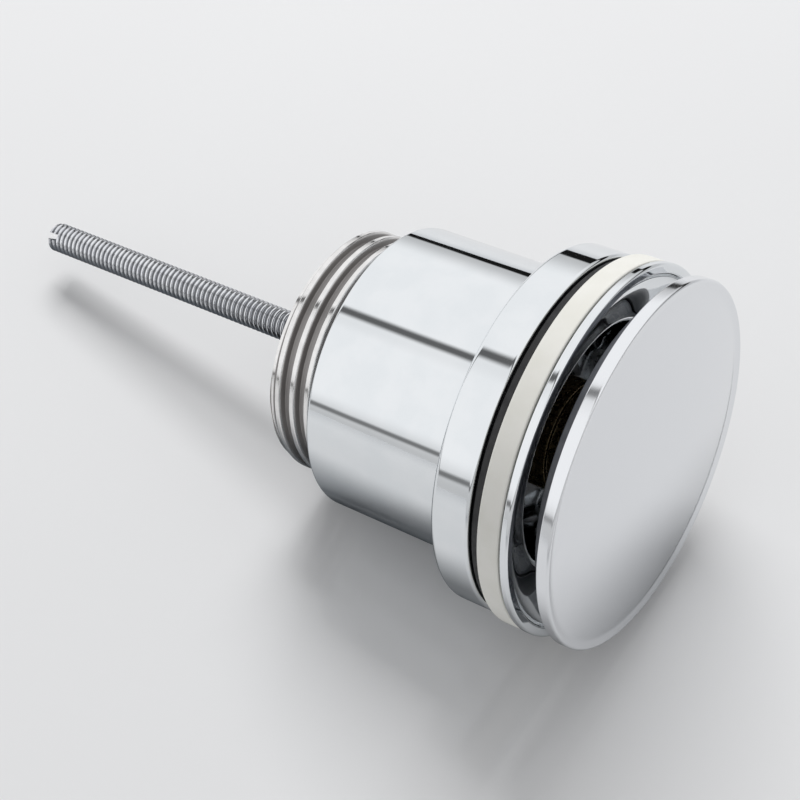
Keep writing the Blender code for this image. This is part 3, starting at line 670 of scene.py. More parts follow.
def grid_faces(rows: np.ndarray, following: np.ndarray, sides: int) -> np.ndarray:
    """Quads between rings of points, facing outwards for a counter-clockwise section.

    Args:
        rows: number of the first point of each lower ring.
        following: number of the first point of the ring after it.
        sides: points in a ring.

    Returns:
        Point numbers, four to a row.
    """
    column = np.arange(sides)
    after = (column + 1) % sides
    low, high = rows[:, None], following[:, None]
    corners = [low + column, low + after, high + after, high + column]
    return np.stack(corners, axis=-1).reshape(-1, 4)


def grid_normals(points: np.ndarray) -> np.ndarray:
    """Normals of a ring grid: the tangent round the axis crossed with the tangent along it.

    Args:
        points: places, rows by sides.

    Returns:
        Unit normals of the same shape.
    """
    around = np.roll(points, -1, axis=1) - np.roll(points, 1, axis=1)
    along = np.roll(points, -1, axis=0) - np.roll(points, 1, axis=0)
    normal = np.cross(around, along)
    return normal / np.maximum(np.linalg.norm(normal, axis=-1, keepdims=True), TINY_AREA)


def turned(section: Section, sides: int = ROUND_SIDES, relief: Optional[Relief] = None) -> Skin:
    """Skin of a section carried round the Z axis.

    The section's point (r, z) at the angle t lies at (r cos t, r sin t, z). A relief changes r,
    and there the normal is the cross product of the two tangents of the grid.

    Args:
        section: the half section; an open one starts and ends on the axis.
        sides: number of steps round the axis.
        relief: a thread or flats cut into the surface.

    Returns:
        The skin.
    """
    rows = section.points if section.closed else section.points[1:-1]
    edge = section.normals if section.closed else section.normals[1:-1]
    turn = np.repeat((np.arange(sides) * math.tau / sides)[None], len(rows), axis=0)
    plain = np.repeat(rows[:, :1], sides, axis=1)
    height = np.repeat(rows[:, 1:], sides, axis=1)
    radius = relief.radius(turn, plain, height) if relief else plain
    points = np.stack([radius * np.cos(turn), radius * np.sin(turn), height], axis=-1)
    normals = np.stack([edge[:, :1] * np.cos(turn), edge[:, :1] * np.sin(turn),
                        np.repeat(edge[:, 1:], sides, axis=1)], axis=-1)
    changed = np.abs(plain - radius).max(axis=1) > TINY_CUT
    if relief:
        normals = np.where(changed[:, None, None], grid_normals(points), normals)
    if not section.closed:
        return Skin.capped(points, normals, [UP * section.points[0, 1], UP * section.points[-1, 1]])
    first = np.arange(len(rows)) * sides
    quads = grid_faces(first, np.roll(first, -1), sides)
    return Skin(points.reshape(-1, 3), normals.reshape(-1, 3), [quads])


def column(outline: Section, low: float, high: float, rounding: float) -> Skin:
    """Upright column over an outline, with both ends rounded over.

    At the angle a from -90 to 90 degrees the outline is drawn in by rounding (1 - cos a) along
    its normals, and the height runs up with rounding sin a. The ends close on a middle point.

    Args:
        outline: closed convex outline in (x, y).
        low: height of the lower end.
        high: height of the upper end.
        rounding: radius of the ends' edges.

    Returns:
        The skin.
    """
    quarter = np.radians(np.linspace(0.0, 90.0, END_RINGS))
    lean = np.concatenate([quarter - math.pi / 2, quarter])
    inset = rounding * (1.0 - np.cos(lean))
    height = np.repeat([low + rounding, high - rounding], END_RINGS) + rounding * np.sin(lean)
    sides = len(outline.points)
    flat = outline.points[None] - outline.normals[None] * inset[:, None, None]
    points = np.concatenate([flat, np.repeat(height[:, None, None], sides, axis=1)], axis=2)
    across = outline.normals[None] * np.cos(lean)[:, None, None]
    upward = np.repeat(np.sin(lean)[:, None, None], sides, axis=1)
    middle = outline.points.mean(axis=0)
    return Skin.capped(points, np.concatenate([across, upward], axis=2), [[*middle, low], [*middle, high]])


def block(x_span: Span, half_width: float, low: float, high: float, rounding: float) -> Skin:
    """Bar along X with rounded edges and corners.

    Args:
        x_span: its start and end.
        half_width: half its width along Y.
        low: height of its underside.
        high: height of its top.
        rounding: radius of its edges.

    Returns:
        The skin.
    """
    start, end = x_span
    corners = [(start, -half_width, rounding), (end, -half_width, rounding), (end, half_width, rounding),
               (start, half_width, rounding)]
    return column(Section.through(corners), low, high, rounding)


def arc_points(centre: Span, radii: Span, start: float, end: float, count: int) -> list[Corner]:
    """Points of an elliptical arc as smooth corners.

    Args:
        centre: middle of the ellipse.
        radii: its two half axes.
        start: first angle in degrees.
        end: last angle in degrees.
        count: number of points.

    Returns:
        The points, with rounding 0.
    """
    angle = np.radians(np.linspace(start, end, count))
    across = centre[0] + radii[0] * np.cos(angle)
    up = centre[1] + radii[1] * np.sin(angle)
    return [(float(x), float(y), 0.0) for x, y in zip(across, up)]


def collar(bore: float, radius: float, span: Span, roundings: Sequence[float],
           sides: int = SMALL_SIDES) -> Skin:
    """Plain ring, such as a hub or a washer.

    Args:
        bore: radius of its hole.
        radius: its own radius.
        span: height of its underside and of its top.
        roundings: of the lower inner edge, and on round the section from there.
        sides: number of steps round the axis.

    Returns:
        The skin.
    """
    low, high = span
    spots = ((bore, low), (radius, low), (radius, high), (bore, high))
    corners = [(*spot, rounding) for spot, rounding in zip(spots, roundings)]
    return turned(Section.through(corners), sides)


def cross(reach: float, half_width: float, span: Span, hub_radius: float, hub_span: Span) -> list[Skin]:
    """Cross-shaped carrier whose hub the screw runs through.

    Args:
        reach: length of an arm from the axis.
        half_width: half the width of an arm.
        span: height of the arms' underside and top.
        hub_radius: radius of the hub.
        hub_span: height of the hub's underside and top.

    Returns:
        The hub and the arms.
    """
    bar = block((-reach, reach), half_width, *span, 0.5)
    hub = collar(ROD_HOLE, hub_radius, hub_span, (0.3, 0.8, 0.8, 0.3))
    return [hub, bar.turned_by(math.pi / 4), bar.turned_by(-math.pi / 4)]


def hexagon_nut(flats: float, bore: float, span: Span) -> Skin:
    """Hexagon nut chamfered to a cone at both ends.

    Args:
        flats: distance across its flats.
        bore: radius of its hole.
        span: height of its underside and of its top.

    Returns:
        The skin.
    """
    low, high = span
    corner = flats / 2 / math.cos(math.pi / 6)
    drop = (corner - flats / 2) * math.tan(math.pi / 6) * NUT_CHAMFER
    inner = NUT_FACE * flats / 2
    corners = [(bore, low, 0.25), (inner, low, 0.08), (corner + 0.05, low + drop, 0.05),
               (corner + 0.05, high - drop, 0.05), (inner, high, 0.08), (bore, high, 0.25)]
    line = Section.through(corners).refined(low - 1.0, high + 1.0, 0.09, inner - 0.1)
    return turned(line, NECK_SIDES, Hexagon(flats, inner))


def put_in_scene(name: str, data: bpy.types.ID) -> bpy.types.Object:
    """Make an object and link it to the scene.

    Args:
        name: its name.
        data: its mesh, lamp or camera.

    Returns:
        The object.
    """
    item = bpy.data.objects.new(name, data)
    bpy.context.scene.collection.objects.link(item)
    return item


class Piece:
    """One visual piece, gathered from skins and put into the scene as a single mesh."""

    def __init__(self, name: str, body: Body, slot: Slot, node: str) -> None:
        """Name the piece and say what it stands for.

        Args:
            name: name of the object.
            body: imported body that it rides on.
            slot: material slot of the record.
            node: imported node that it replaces.
        """
        self.name = name
        self.body = body
        self.slot = slot
        self.node = node
        self.parts: list[tuple[Skin, Finish]] = []

    def add(self, finish: Finish, *skins: Skin) -> "Piece":
        """Add skins with their finish, and return the piece."""
        self.parts += [(skin, finish) for skin in skins]
        return self

    def make(self) -> bpy.types.Object:
        """Join the skins into one mesh with exact normals, and hand it to the frame.

        Returns:
            The new object.
        """
        faces, slots, offset = [], [], 0
        finishes = list(dict.fromkeys(finish for _, finish in self.parts))
        for skin, finish in self.parts:
            for group in skin.faces:
                faces += (group + offset).tolist()
                slots.append(np.full(len(group), finishes.index(finish)))
            offset += len(skin.points)
        points = np.concatenate([skin.points for skin, _ in self.parts]) * MM
        normals = np.concatenate([skin.normals for skin, _ in self.parts])
        mesh = bpy.data.meshes.new(self.name)
        mesh.from_pydata(points.tolist(), [], faces)
        for finish in finishes:
            mesh.materials.append(finish.material())
        mesh.polygons.foreach_set("material_index", np.concatenate(slots).astype(np.int32))
        mesh.shade_smooth()
        mesh.normals_split_custom_set_from_vertices(normals.tolist())
        item = put_in_scene(self.name, mesh)
        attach(item, self.body.value)
        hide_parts(self.node)
        log.info("%s: %d points, %d faces", self.name, len(points), len(faces))
        return item


@dataclass
class Flange:
    """Rim, dish, throat and threaded neck in one casting, with the pale seal under the rim."""

    rim_radius: float = 30.9
    rim_bottom: float = 4.1
    rim_top: float = 5.5
    lip_radius: float = 29.3
    floor_start: float = 22.0
    dish_depth: float = 3.1
    dish_wall: float = 1.2
    throat_radius: float = 19.8
    throat_round: float = 2.2
    neck_radius: float = 21.75
    neck_end: float = -30.0
    thread_pitch: float = 1.5
    thread_depth: float = 0.6
    thread_top: float = -6.0
    thread_fade: float = 0.8
    thread_step: float = 0.11
    wall_points: int = 24
    dish_points: int = 40
    bend_points: int = 14
    seal_points: int = 20
    hub_radius: float = 6.5
    hub_top: float = -25.3
    arm_half: float = 1.5
    arm_height: float = 3.0
    seal_radius: float = 30.8
    seal_height: float = 3.8
    seal_bore: float = 22.1

    def dish(self, offset: float, top: float, count: int) -> list[Corner]:
        """Dish's quarter ellipse moved outwards by an offset, from a height down to its floor.

        Args:
            offset: how far outside the dish's own surface.
            top: height that the curve starts at.
            count: number of points.

        Returns:
            The points, outermost first.
        """
        depth = self.dish_depth + offset
        width = self.lip_radius - self.floor_start + offset
        start = -math.degrees(math.asin((self.rim_top - top) / depth))
        return arc_points((self.floor_start, self.rim_top), (width, depth), start, -90.0, count)

    def casting(self) -> Skin:
        """Return the flange's turned shell with its neck thread."""
        floor = self.rim_top - self.dish_depth
        bend = (self.throat_round, self.throat_round)
        corners = [(self.throat_radius, self.neck_end, 0.2), (self.neck_radius, self.neck_end, 0.35),
                   (self.neck_radius, floor - self.dish_wall, 0.3)]
        corners += self.dish(self.dish_wall, self.rim_bottom + 0.05, self.wall_points)[::-1][1:]
        corners[-1] = (*corners[-1][:2], 0.2)
        corners += [(self.rim_radius, self.rim_bottom, 0.25), (self.rim_radius, self.rim_top, 0.55),
                    (self.lip_radius, self.rim_top, 0.3)]
        corners += self.dish(0.0, self.rim_top - 0.6, self.dish_points)
        corners += arc_points((self.floor_start, floor - self.throat_round), bend, 90.0, 180.0,
                              self.bend_points)[1:]
        line = Section.through(corners).refined(self.neck_end, self.thread_top + 1.0, self.thread_step,
                                                self.neck_radius - 0.5)
        thread = Thread(self.neck_radius, self.thread_pitch, self.thread_depth, self.neck_end - 0.4,
                        self.thread_top, self.thread_fade, self.neck_radius - 0.8)
        return turned(line, NECK_SIDES, thread)

    def build(self) -> None:
        """Build the flange and its seal."""
        low = self.neck_end + FIT_GAP
        carrier = cross(self.throat_radius + 0.8, self.arm_half, (low, low + self.arm_height),
                        self.hub_radius, (self.neck_end, self.hub_top))
        flange = Piece("flange_casting", Body.FLANGE, Slot.FLANGE, "upper_flange")
        flange.add(CHROME, self.casting()).add(CAST_CHROME, *carrier).make()
        curve = self.dish(self.dish_wall + FIT_GAP, self.seal_height, self.seal_points)
        corners = [(self.seal_bore, 0.0, 0.25), (self.seal_radius, 0.0, 0.5),
                   (self.seal_radius, self.seal_height, 0.35), (*curve[0][:2], 0.15)]
        corners += curve[1:-1] + [(self.seal_bore, curve[-1][1], 0.25)]
        seal = Piece("pale_rim_seal", Body.FLANGE, Slot.PALE_SEAL, "top_seal")
        seal.add(IVORY_SEAL, turned(Section.through(corners))).make()


@dataclass
class LowerBody:
    """Clamping ring, barrel and threaded tail in one casting, with the black seal on its ring."""

    ring_radius: float = 30.1
    ring_top: float = -1.9
    ring_bottom: float = -8.7
    ring_round: float = 0.9
    barrel_radius: float = 24.4
    shoulder: float = -36.2
    tail_radius: float = 20.95
    tail_end: float = -46.8
    tail_bore: float = 18.3
    relief_radius: float = 19.65
    relief_width: float = 1.4
    bore: float = 22.4
    bore_end: float = -34.0
    recess: Span = (23.6, 28.9)
    recess_floor: float = -4.8
    pitch: float = 2.9
    thread_depth: float = 1.1
    thread_fade: float = 0.6
    thread_step: float = 0.085
    crest_share: float = 0.26
    root_share: float = 0.34
    hub_radius: float = 6.2
    hub_span: Span = (-45.0, -38.5)
    arm_half: float = 1.5
    arm_span: Span = (-44.0, -40.0)
    seal_radius: float = 29.6
    seal_bore: float = 22.95
    seal_top: float = -0.3
    seal_under: float = -1.6
    tongue: Span = (23.95, 28.55)
    tongue_end: float = -4.5

    def barrel(self, split: float) -> Skin:
        """Polished ring and barrel.

        Args:
            split: height where the tail starts.

        Returns:
            The skin.
        """
        inner, outer = self.recess
        top, floor = self.ring_top, self.recess_floor
        corners = [(self.tail_bore, split, 0.05), (self.relief_radius, split, 0.05),
                   (self.relief_radius, self.shoulder, 0.2), (self.barrel_radius, self.shoulder, 0.5),
                   (self.barrel_radius, self.ring_bottom, 0.35),
                   (self.ring_radius, self.ring_bottom, self.ring_round),
                   (self.ring_radius, top, self.ring_round), (outer, top, 0.1), (outer, floor, 0.2),
                   (inner, floor, 0.2), (inner, top, 0.1), (self.bore, top, 0.3),
                   (self.bore, self.bore_end, 0.3), (self.tail_bore, self.bore_end, 0.4)]
        return turned(Section.through(corners), FINE_SIDES)

    def tail(self, split: float) -> Skin:
        """Threaded tail.

        Args:
            split: height where the barrel starts.

        Returns:
            The skin.
        """
        end, crest = self.tail_end, self.tail_radius
        corners = [(self.tail_bore, end, 0.3), (crest - 0.9, end, 0.15), (crest, end + 0.8, 0.1),
                   (crest, split - 0.6, 0.1), (self.relief_radius, split, 0.05),
                   (self.tail_bore, split, 0.05)]
        line = Section.through(corners).refined(end, split, self.thread_step, self.relief_radius - 0.4)
        thread = Thread(crest, self.pitch, self.thread_depth, end - 2.0, split + 0.4, self.thread_fade,
                        self.relief_radius - 0.3, self.crest_share, self.root_share)
        return turned(line, TAIL_SIDES, thread)

    def build(self) -> None:
        """Build the body and the seal."""
        split = self.shoulder - self.relief_width
        carrier = cross(self.tail_bore + 0.6, self.arm_half, self.arm_span, self.hub_radius, self.hub_span)
        body = Piece("clamping_body", Body.CLAMP, Slot.BODY, "lower_body")
        body.add(CHROME, self.barrel(split)).add(THREAD_CHROME, self.tail(split)).add(CAST_CHROME, *carrier)
        body.make()
        (inner, outer), under = self.tongue, self.seal_under
        corners = [(self.seal_bore, under, 0.2), (inner, under, 0.15), (inner, self.tongue_end, 0.3),
                   (outer, self.tongue_end, 0.3), (outer, under, 0.15), (self.seal_radius, under, 0.3),
                   (self.seal_radius, self.seal_top, 0.3), (self.seal_bore, self.seal_top, 0.3)]
        seal = Piece("black_clamp_seal", Body.CLAMP_SEAL, Slot.RUBBER, "bottom_seal")
        seal.add(BLACK_RUBBER, turned(Section.through(corners))).make()


def scratch_mesh(skin: Skin) -> bpy.types.Object:
    """Make an object that only a Boolean uses.

    Args:
        skin: its surface.

    Returns:
        The object, linked to the scene.
    """
    mesh = bpy.data.meshes.new("scratch")
    points = (skin.points * MM).tolist()
    mesh.from_pydata(points, [], [face for group in skin.faces for face in group.tolist()])
    return put_in_scene("scratch", mesh)


def boolean_difference(target: bpy.types.Object, cutter: bpy.types.Object) -> Skin:
    """Cut one scratch object with another and read the result back.

    Args:
        target: what is cut.
        cutter: what cuts it.

    Returns:
        The result, with every face's own corners and normals, so that its edges stay crisp.
    """
    cut = target.modifiers.new("cut", "BOOLEAN")
    cut.object = cutter
    cut.operation = "DIFFERENCE"
    result = bpy.data.meshes.new_from_object(target.evaluated_get(bpy.context.evaluated_depsgraph_get()))
    result.shade_smooth()
    result.set_sharp_from_angle(angle=CREASE)
    points = np.empty(len(result.vertices) * 3)
    result.vertices.foreach_get("co", points)
    corner = np.empty(len(result.loops), np.int32)
    result.loops.foreach_get("vertex_index", corner)
    normals = np.empty(len(result.loops) * 3)
    result.corner_normals.foreach_get("vector", normals)
    start, total = np.empty((2, len(result.polygons)), np.int32)
    result.polygons.foreach_get("loop_start", start)
    result.polygons.foreach_get("loop_total", total)
    faces = [start[total == size][:, None] + np.arange(size) for size in np.unique(total)]
    bpy.data.objects.remove(target)
    bpy.data.objects.remove(cutter)
    return Skin(points.reshape(-1, 3)[corner] / MM, normals.reshape(-1, 3), faces)


@dataclass
class ClampingScrew:
    """Long screw out of the tail, with its washer and nut under the neck's hub."""

    radius: float = 2.7
    pitch: float = 1.0
    depth: float = 0.55
    steps_per_turn: int = 11
    chamfer: float = 0.6
    tip: float = -114.0
    top: float = -20.3
    slot_half: float = 0.6
    slot_depth: float = 2.0
    tip_length: float = 4.0
    washer_radius: float = 5.8
    washer_span: Span = (-31.5, -30.3)
    nut_flats: float = 10.0
    nut_span: Span = (-36.8, -31.8)

    def shank(self, low: float, high: float, end: float) -> Skin:
        """Closed stretch of the threaded shank.

        Args:
            low: height of its lower end.
            high: height of its upper end.
            end: width of the chamfer below.

        Returns:
            The skin.
        """
        corners = [(0.0, low, 0.0), (self.radius - end, low, 0.05), (self.radius, low + end, 0.05),
                   (self.radius, high - 0.02, 0.01), (self.radius - 0.02, high, 0.01), (0.0, high, 0.0)]
        step = self.pitch / self.steps_per_turn
        line = Section.through(corners, closed=False).refined(low, high, step, 0.5 * self.radius)
        thread = Thread(self.radius, self.pitch, self.depth, low - self.pitch, high + self.pitch,
                        0.2 * self.pitch, 0.75 * self.radius)
        return turned(line, ROD_SIDES, thread)

    def slotted_tip(self) -> Skin:
        """Return the tip with its screwdriver slot, cut by a Boolean and read back as arrays."""
        tip = scratch_mesh(self.shank(self.tip, self.tip + self.tip_length, self.chamfer))
        reach, depth = 2.0 * self.radius, self.slot_depth
        slot = block((-reach, reach), self.slot_half, self.tip - depth, self.tip + depth, 0.08)
        return boolean_difference(tip, scratch_mesh(slot))

    def build(self) -> None:
        """Build the screw, washer and nut."""
        shank = self.shank(self.tip + self.tip_length, self.top, 0.02)
        rod = Piece("tie_screw", Body.FLANGE, Slot.ROD, "tie_rod")
        rod.add(ZINC_THREAD, shank, self.slotted_tip()).make()
        washer = Piece("plain_washer", Body.FLANGE, Slot.ROD, "lock_washer")
        washer.add(ZINC, collar(ROD_HOLE, self.washer_radius, self.washer_span, (0.1, 0.15, 0.3, 0.2))).make()
        nut = Piece("hexagon_lock_nut", Body.FLANGE, Slot.ROD, "lock_nut")
        nut.add(ZINC, hexagon_nut(self.nut_flats, ROD_HOLE, self.nut_span)).make()


@dataclass
class Plug:
    """Domed cap with the boss, the moulded core, the lip seal and the nut under it."""

    radius: float = 30.4
    bottom: float = 10.0
    edge: float = 11.6
    rise: float = 2.1
    wall: float = 1.4
    recess: float = 28.3
    edge_round: float = 0.5
    boss_radius: float = 6.0
    boss_flange: float = 7.8
    boss_low: float = 6.2
    boss_step: float = 6.7
    boss_top: float = 12.0
    boss_bore: float = 2.8
    pocket: float = 5.2
    pocket_top: float = 8.6
    nut_flats: float = 8.0
    nut_span: Span = (5.9, 8.3)
    core_radius: float = 27.9
    core_low: float = 7.0
    core_flange: float = 9.2
    core_seat: float = 22.0
    core_lip: float = 22.8
    core_bore: float = 6.3
    core_rim: float = 3.5
    core_hub: float = 2.7
    core_hollow: float = 1.6
    rib_half: float = 0.6
    seal_bore: float = 22.3
    seal_notch: float = 23.1
    seal_radius: float = 26.3
    seal_top: float = 8.9
    seal_lift: float = 4.45
    ribs: int = 6
    under_points: int = 16
    dome_points: int = 40
    edge_points: int = 9
    seal_points: int = 14

    def dome(self, radius: float) -> float:
        """Return the dome's height: the edge plus the rise (1 - (r / edge radius)^2)."""
        share = radius / (self.radius - self.edge_round)
        return self.edge + self.rise * (1.0 - share * share)

    def cap(self) -> Skin:
        """Return the cap's shell."""
        shoulder = self.radius - self.edge_round
        inner = np.linspace(0.0, self.recess, self.under_points).tolist()
        outer = np.linspace(shoulder, 0.0, self.dome_points).tolist()
        under = [(radius, self.dome(radius) - self.wall, 0.0) for radius in inner]
        over = [(radius, self.dome(radius), 0.0) for radius in outer]
        side = [(self.recess, self.bottom, 0.25), (self.radius, self.bottom, 0.3)]
        side += arc_points((shoulder, self.edge), (self.edge_round, self.edge_round), 0.0, 82.0,
                           self.edge_points)
        under[-1] = (*under[-1][:2], 0.3)
        return turned(Section.through(under + side + over[1:], closed=False), FINE_SIDES)

    def core(self) -> list[Skin]:
        """Return the moulded core and the ribs in its recess."""
        low, flange, bore = self.core_low, self.core_flange, self.core_bore
        top = self.dome(self.core_radius) - self.wall - FIT_GAP
        outer, inner = self.core_seat - self.core_rim, bore + self.core_hub
        roof = low + self.core_hollow
        corners = [(bore, low, 0.2), (inner, low, 0.3), (inner, roof, 0.3), (outer, roof, 0.3),
                   (outer, low, 0.3), (self.core_lip, low, 0.15), (self.core_lip, low + 0.4, 0.15),
                   (self.core_seat, low + 0.4, 0.1), (self.core_seat, flange, 0.15),
                   (self.core_radius, flange, 0.3), (self.core_radius, top, 0.2), (bore, top, 0.2)]
        rib = block((inner - 0.3, outer + 0.3), self.rib_half, low + 0.3, roof + 0.4, 0.2)
        ribs = [rib.turned_by(math.tau * index / self.ribs) for index in range(self.ribs)]
        return [turned(Section.through(corners))] + ribs

    def lip_seal(self, flange: Flange) -> Skin:
        """Seal whose underside follows the dish that it closes on.

        Args:
            flange: the flange with that dish.

        Returns:
            The skin.
        """
        reach = flange.lip_radius - flange.floor_start
        radii = np.linspace(self.seal_notch, self.seal_radius, self.seal_points)
        depth = flange.dish_depth * np.sqrt(1.0 - ((radii - flange.floor_start) / reach) ** 2)
        curve = [(float(r), float(z), 0.0) for r, z in zip(radii, flange.rim_top - depth + self.seal_lift)]
        curve[0] = (*curve[0][:2], 0.12)
        curve[-1] = (*curve[-1][:2], 0.25)
        notch_top = self.core_low + 0.7
        corners = [(self.seal_bore, notch_top, 0.1), (self.seal_notch, notch_top, 0.05)] + curve
        corners += [(self.seal_radius, self.seal_top, 0.3), (self.seal_bore, self.seal_top, 0.2)]
        return turned(Section.through(corners))

    def boss(self) -> Skin:
        """Return the threaded boss with the nut's pocket in its underside."""
        corners = [(self.pocket, self.boss_low, 0.15), (self.boss_flange, self.boss_low, 0.2),
                   (self.boss_flange, self.boss_step, 0.15), (self.boss_radius, self.boss_step, 0.1),
                   (self.boss_radius, self.boss_top, 0.3), (self.boss_bore, self.boss_top, 0.2),
                   (self.boss_bore, self.pocket_top, 0.2), (self.pocket, self.pocket_top, 0.2)]
        return turned(Section.through(corners), SMALL_SIDES)

    def build(self, flange: Flange) -> None:
        """Build the plug's pieces over the dish that they close.

        Args:
            flange: the flange with that dish.
        """
        nut = hexagon_nut(self.nut_flats, self.boss_bore, self.nut_span)
        Piece("domed_cap", Body.PLUG, Slot.CAP, "cap").add(CAP_CHROME, self.cap()).make()
        Piece("moulded_core", Body.PLUG, Slot.MOULDING, "plug_core").add(SLATE_MOULDING, *self.core()).make()
        Piece("lip_seal", Body.PLUG, Slot.RUBBER, "cap_seal").add(SEAL_RUBBER, self.lip_seal(flange)).make()
        Piece("threaded_boss", Body.PLUG, Slot.BRASS, "cap_boss").add(BRASS, self.boss()).make()
        Piece("stud_lock_nut", Body.PLUG, Slot.BRASS, "stud_nut").add(BRASS, nut).make()


@dataclass
class Cartridge:
    """Push-push mechanism: housing, collar, O-ring, plunger, turning ring, pin and spring."""

    radius: float = 9.2
    collar_top: float = 1.4
    brim_bottom: float = -1.2
    spigot: float = 7.4
    guide: float = 5.6
    collar_ledge: float = -1.7
    ring_span: Span = (-9.6, -6.6)
    neck_hole: float = 3.9
    groove: float = 5.0
    groove_half: float = 0.75
    oring_height: float = -0.15
    oring_radius: float = 4.25
    oring_wire: float = 0.9
    body_top: float = -1.5
    body_bottom: float = -23.9
    foot_washer: Span = (-25.0, -24.2)
    foot_radius: float = 5.6
    chamber: float = 7.7
    chamber_ledge: float = -9.9
    chamber_floor: float = -19.0
    pin_radius: float = 0.6
    pin_height: float = -8.1
    pin_reach: Span = (4.35, 7.25)
    spring_wire: float = 0.8
    spring_mean: float = 2.7
    spring_span: Span = (-18.3, -4.6)
    spring_turns: int = 7
    spring_steps: int = 40
    wire_sides: int = 12
    close_pitch: float = 1.15
    travel: float = 4.2
    kept_node: str = "plunger"

    def collar(self) -> Skin:
        """Return the screwed-in cover."""
        hole, groove, foot = self.neck_hole, self.groove, self.ring_span[1] + FIT_GAP
        low, high = self.oring_height - self.groove_half, self.oring_height + self.groove_half
        corners = [(hole, self.collar_ledge, 0.1), (self.guide, self.collar_ledge, 0.1),
                   (self.guide, foot, 0.15), (self.spigot, foot, 0.15), (self.spigot, self.brim_bottom, 0.1),
                   (self.radius, self.brim_bottom, 0.15), (self.radius, self.collar_top, 0.5),
                   (hole, self.collar_top, 0.25), (hole, high, 0.08), (groove, high, 0.08),
                   (groove, low, 0.08), (hole, low, 0.08)]
        return turned(Section.through(corners), INNER_SIDES)

    def housing(self) -> Skin:
        """Return the housing, open above and tapped below."""
        roof = self.chamber_floor - 1.0
        corners = [(0.0, roof, 0.0), (ROD_HOLE, roof, 0.1), (ROD_HOLE, self.body_bottom, 0.3),
                   (self.radius, self.body_bottom, 0.5), (self.radius, self.body_top, 0.15),
                   (self.chamber, self.body_top, 0.15), (self.chamber, self.chamber_ledge, 0.15),
                   (self.guide, self.chamber_ledge, 0.1), (self.guide, self.chamber_floor, 0.2),
                   (0.0, self.chamber_floor, 0.0)]
        return turned(Section.through(corners, closed=False), INNER_SIDES)

    def coil(self) -> Skin:
        """Return the spring: a wire circle carried along a helix whose end turns lie close.

        With s the turn, the wire's middle is (m cos 2 pi s, m sin 2 pi s, z(s)), where z rises by
        one wire in the first and last turn and evenly between. Each ring adds the wire's radius
        times (cos f) along the radius and (sin f) upwards.
        """
        low, high = self.spring_span
        turn = np.linspace(0.0, self.spring_turns, self.spring_turns * self.spring_steps + 1)
        close = self.spring_wire * self.close_pitch
        rise = np.interp(turn, [0.0, 1.0, self.spring_turns - 1.0, self.spring_turns],
                         [low, low + close, high - close, high])
        across = np.stack([np.cos(math.tau * turn), np.sin(math.tau * turn), 0.0 * turn], axis=-1)
        middle = across * self.spring_mean + rise[:, None] * UP
        wire = (np.arange(self.wire_sides) * math.tau / self.wire_sides)[None, :, None]
        normals = across[:, None] * np.cos(wire) + UP * np.sin(wire)
        points = middle[:, None] + normals * self.spring_wire / 2
        wound = Skin.capped(points, normals, middle[[0, -1]], [(0.0, -1.0, 0.0), (0.0, 1.0, 0.0)])
        return Skin(wound.points, wound.normals, [group[:, ::-1] for group in wound.faces])

    def pin(self) -> Skin:
        """Return the pin, turned upright and then laid along +X."""
        low, high = self.pin_reach
        corners = [(0.0, low, 0.0), (self.pin_radius, low, 0.25), (self.pin_radius, high, 0.1),
                   (0.0, high, 0.0)]
        upright = turned(Section.through(corners, closed=False), PIN_SIDES)
        return upright.laid_along_x().raised(self.pin_height)

    def build(self) -> None:
        """Build the mechanism, and dress the plunger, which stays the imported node."""
        wire = self.oring_wire / 2
        circle = arc_points((self.oring_radius, self.oring_height), (wire, wire), 0.0, 345.0, 24)
        wiper = turned(Section.through(circle), INNER_SIDES)
        foot = collar(ROD_HOLE, self.foot_radius, self.foot_washer, (0.1, 0.2, 0.2, 0.1))
        track = collar(self.guide, self.spigot, self.ring_span, (0.2,) * 4, INNER_SIDES)
        for name, body, slot, node, finish, skin in (
                ("threaded_collar", Body.FLANGE, Slot.BRASS, "cartridge_collar", BRASS, self.collar()),
                ("cartridge_housing", Body.FLANGE, Slot.BRASS, "cartridge_body", BRASS, self.housing()),
                ("cartridge_foot_washer", Body.FLANGE, Slot.ACETAL, "seat_washer", ACETAL, foot),
                ("wiper_ring", Body.FLANGE, Slot.RUBBER, "stem_oring", BLACK_RUBBER, wiper),
                ("turning_track_ring", Body.TRACK, Slot.ACETAL, "track_ring", ACETAL, track),
                ("guide_pin", Body.TRACK, Slot.STAINLESS, "track_pin", STAINLESS, self.pin())):
            Piece(name, body, slot, node).add(finish, skin).make()
        spring = Piece("lifting_spring", Body.PLUG, Slot.STAINLESS, "return_spring")
        item = spring.add(STAINLESS, self.coil()).make()
        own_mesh(item)
        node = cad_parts[self.kept_node]
        node.data.materials.clear()
        node.data.materials.append(STAINLESS.material())
        log.info("%s: packed node in %s", self.kept_node, STAINLESS.name)


@dataclass(frozen=True)
class Band:
    """Strip of the studio's surround between two azimuths, as bright metal mirrors it.

    Attributes:
        azimuth: direction of its middle about Z, in degrees.
        half_width: half its width, in degrees.
        softness: width over which its edge fades, in degrees.
        level: its brightness.
    """

    azimuth: float
    half_width: float
    softness: float
    level: float


def axes_along(direction: Sequence[float]) -> np.ndarray:
    """Three unit axes, the last of them along a direction.

    Args:
        direction: the direction, of any length.

    Returns:
        Its cross product with Z, its cross product with that, and the direction, in rows.
    """
    ahead = np.array(direction) / np.linalg.norm(direction)
    side = np.cross(ahead, UP)
    side = side / np.linalg.norm(side)
    return np.stack([side, np.cross(ahead, side), ahead])


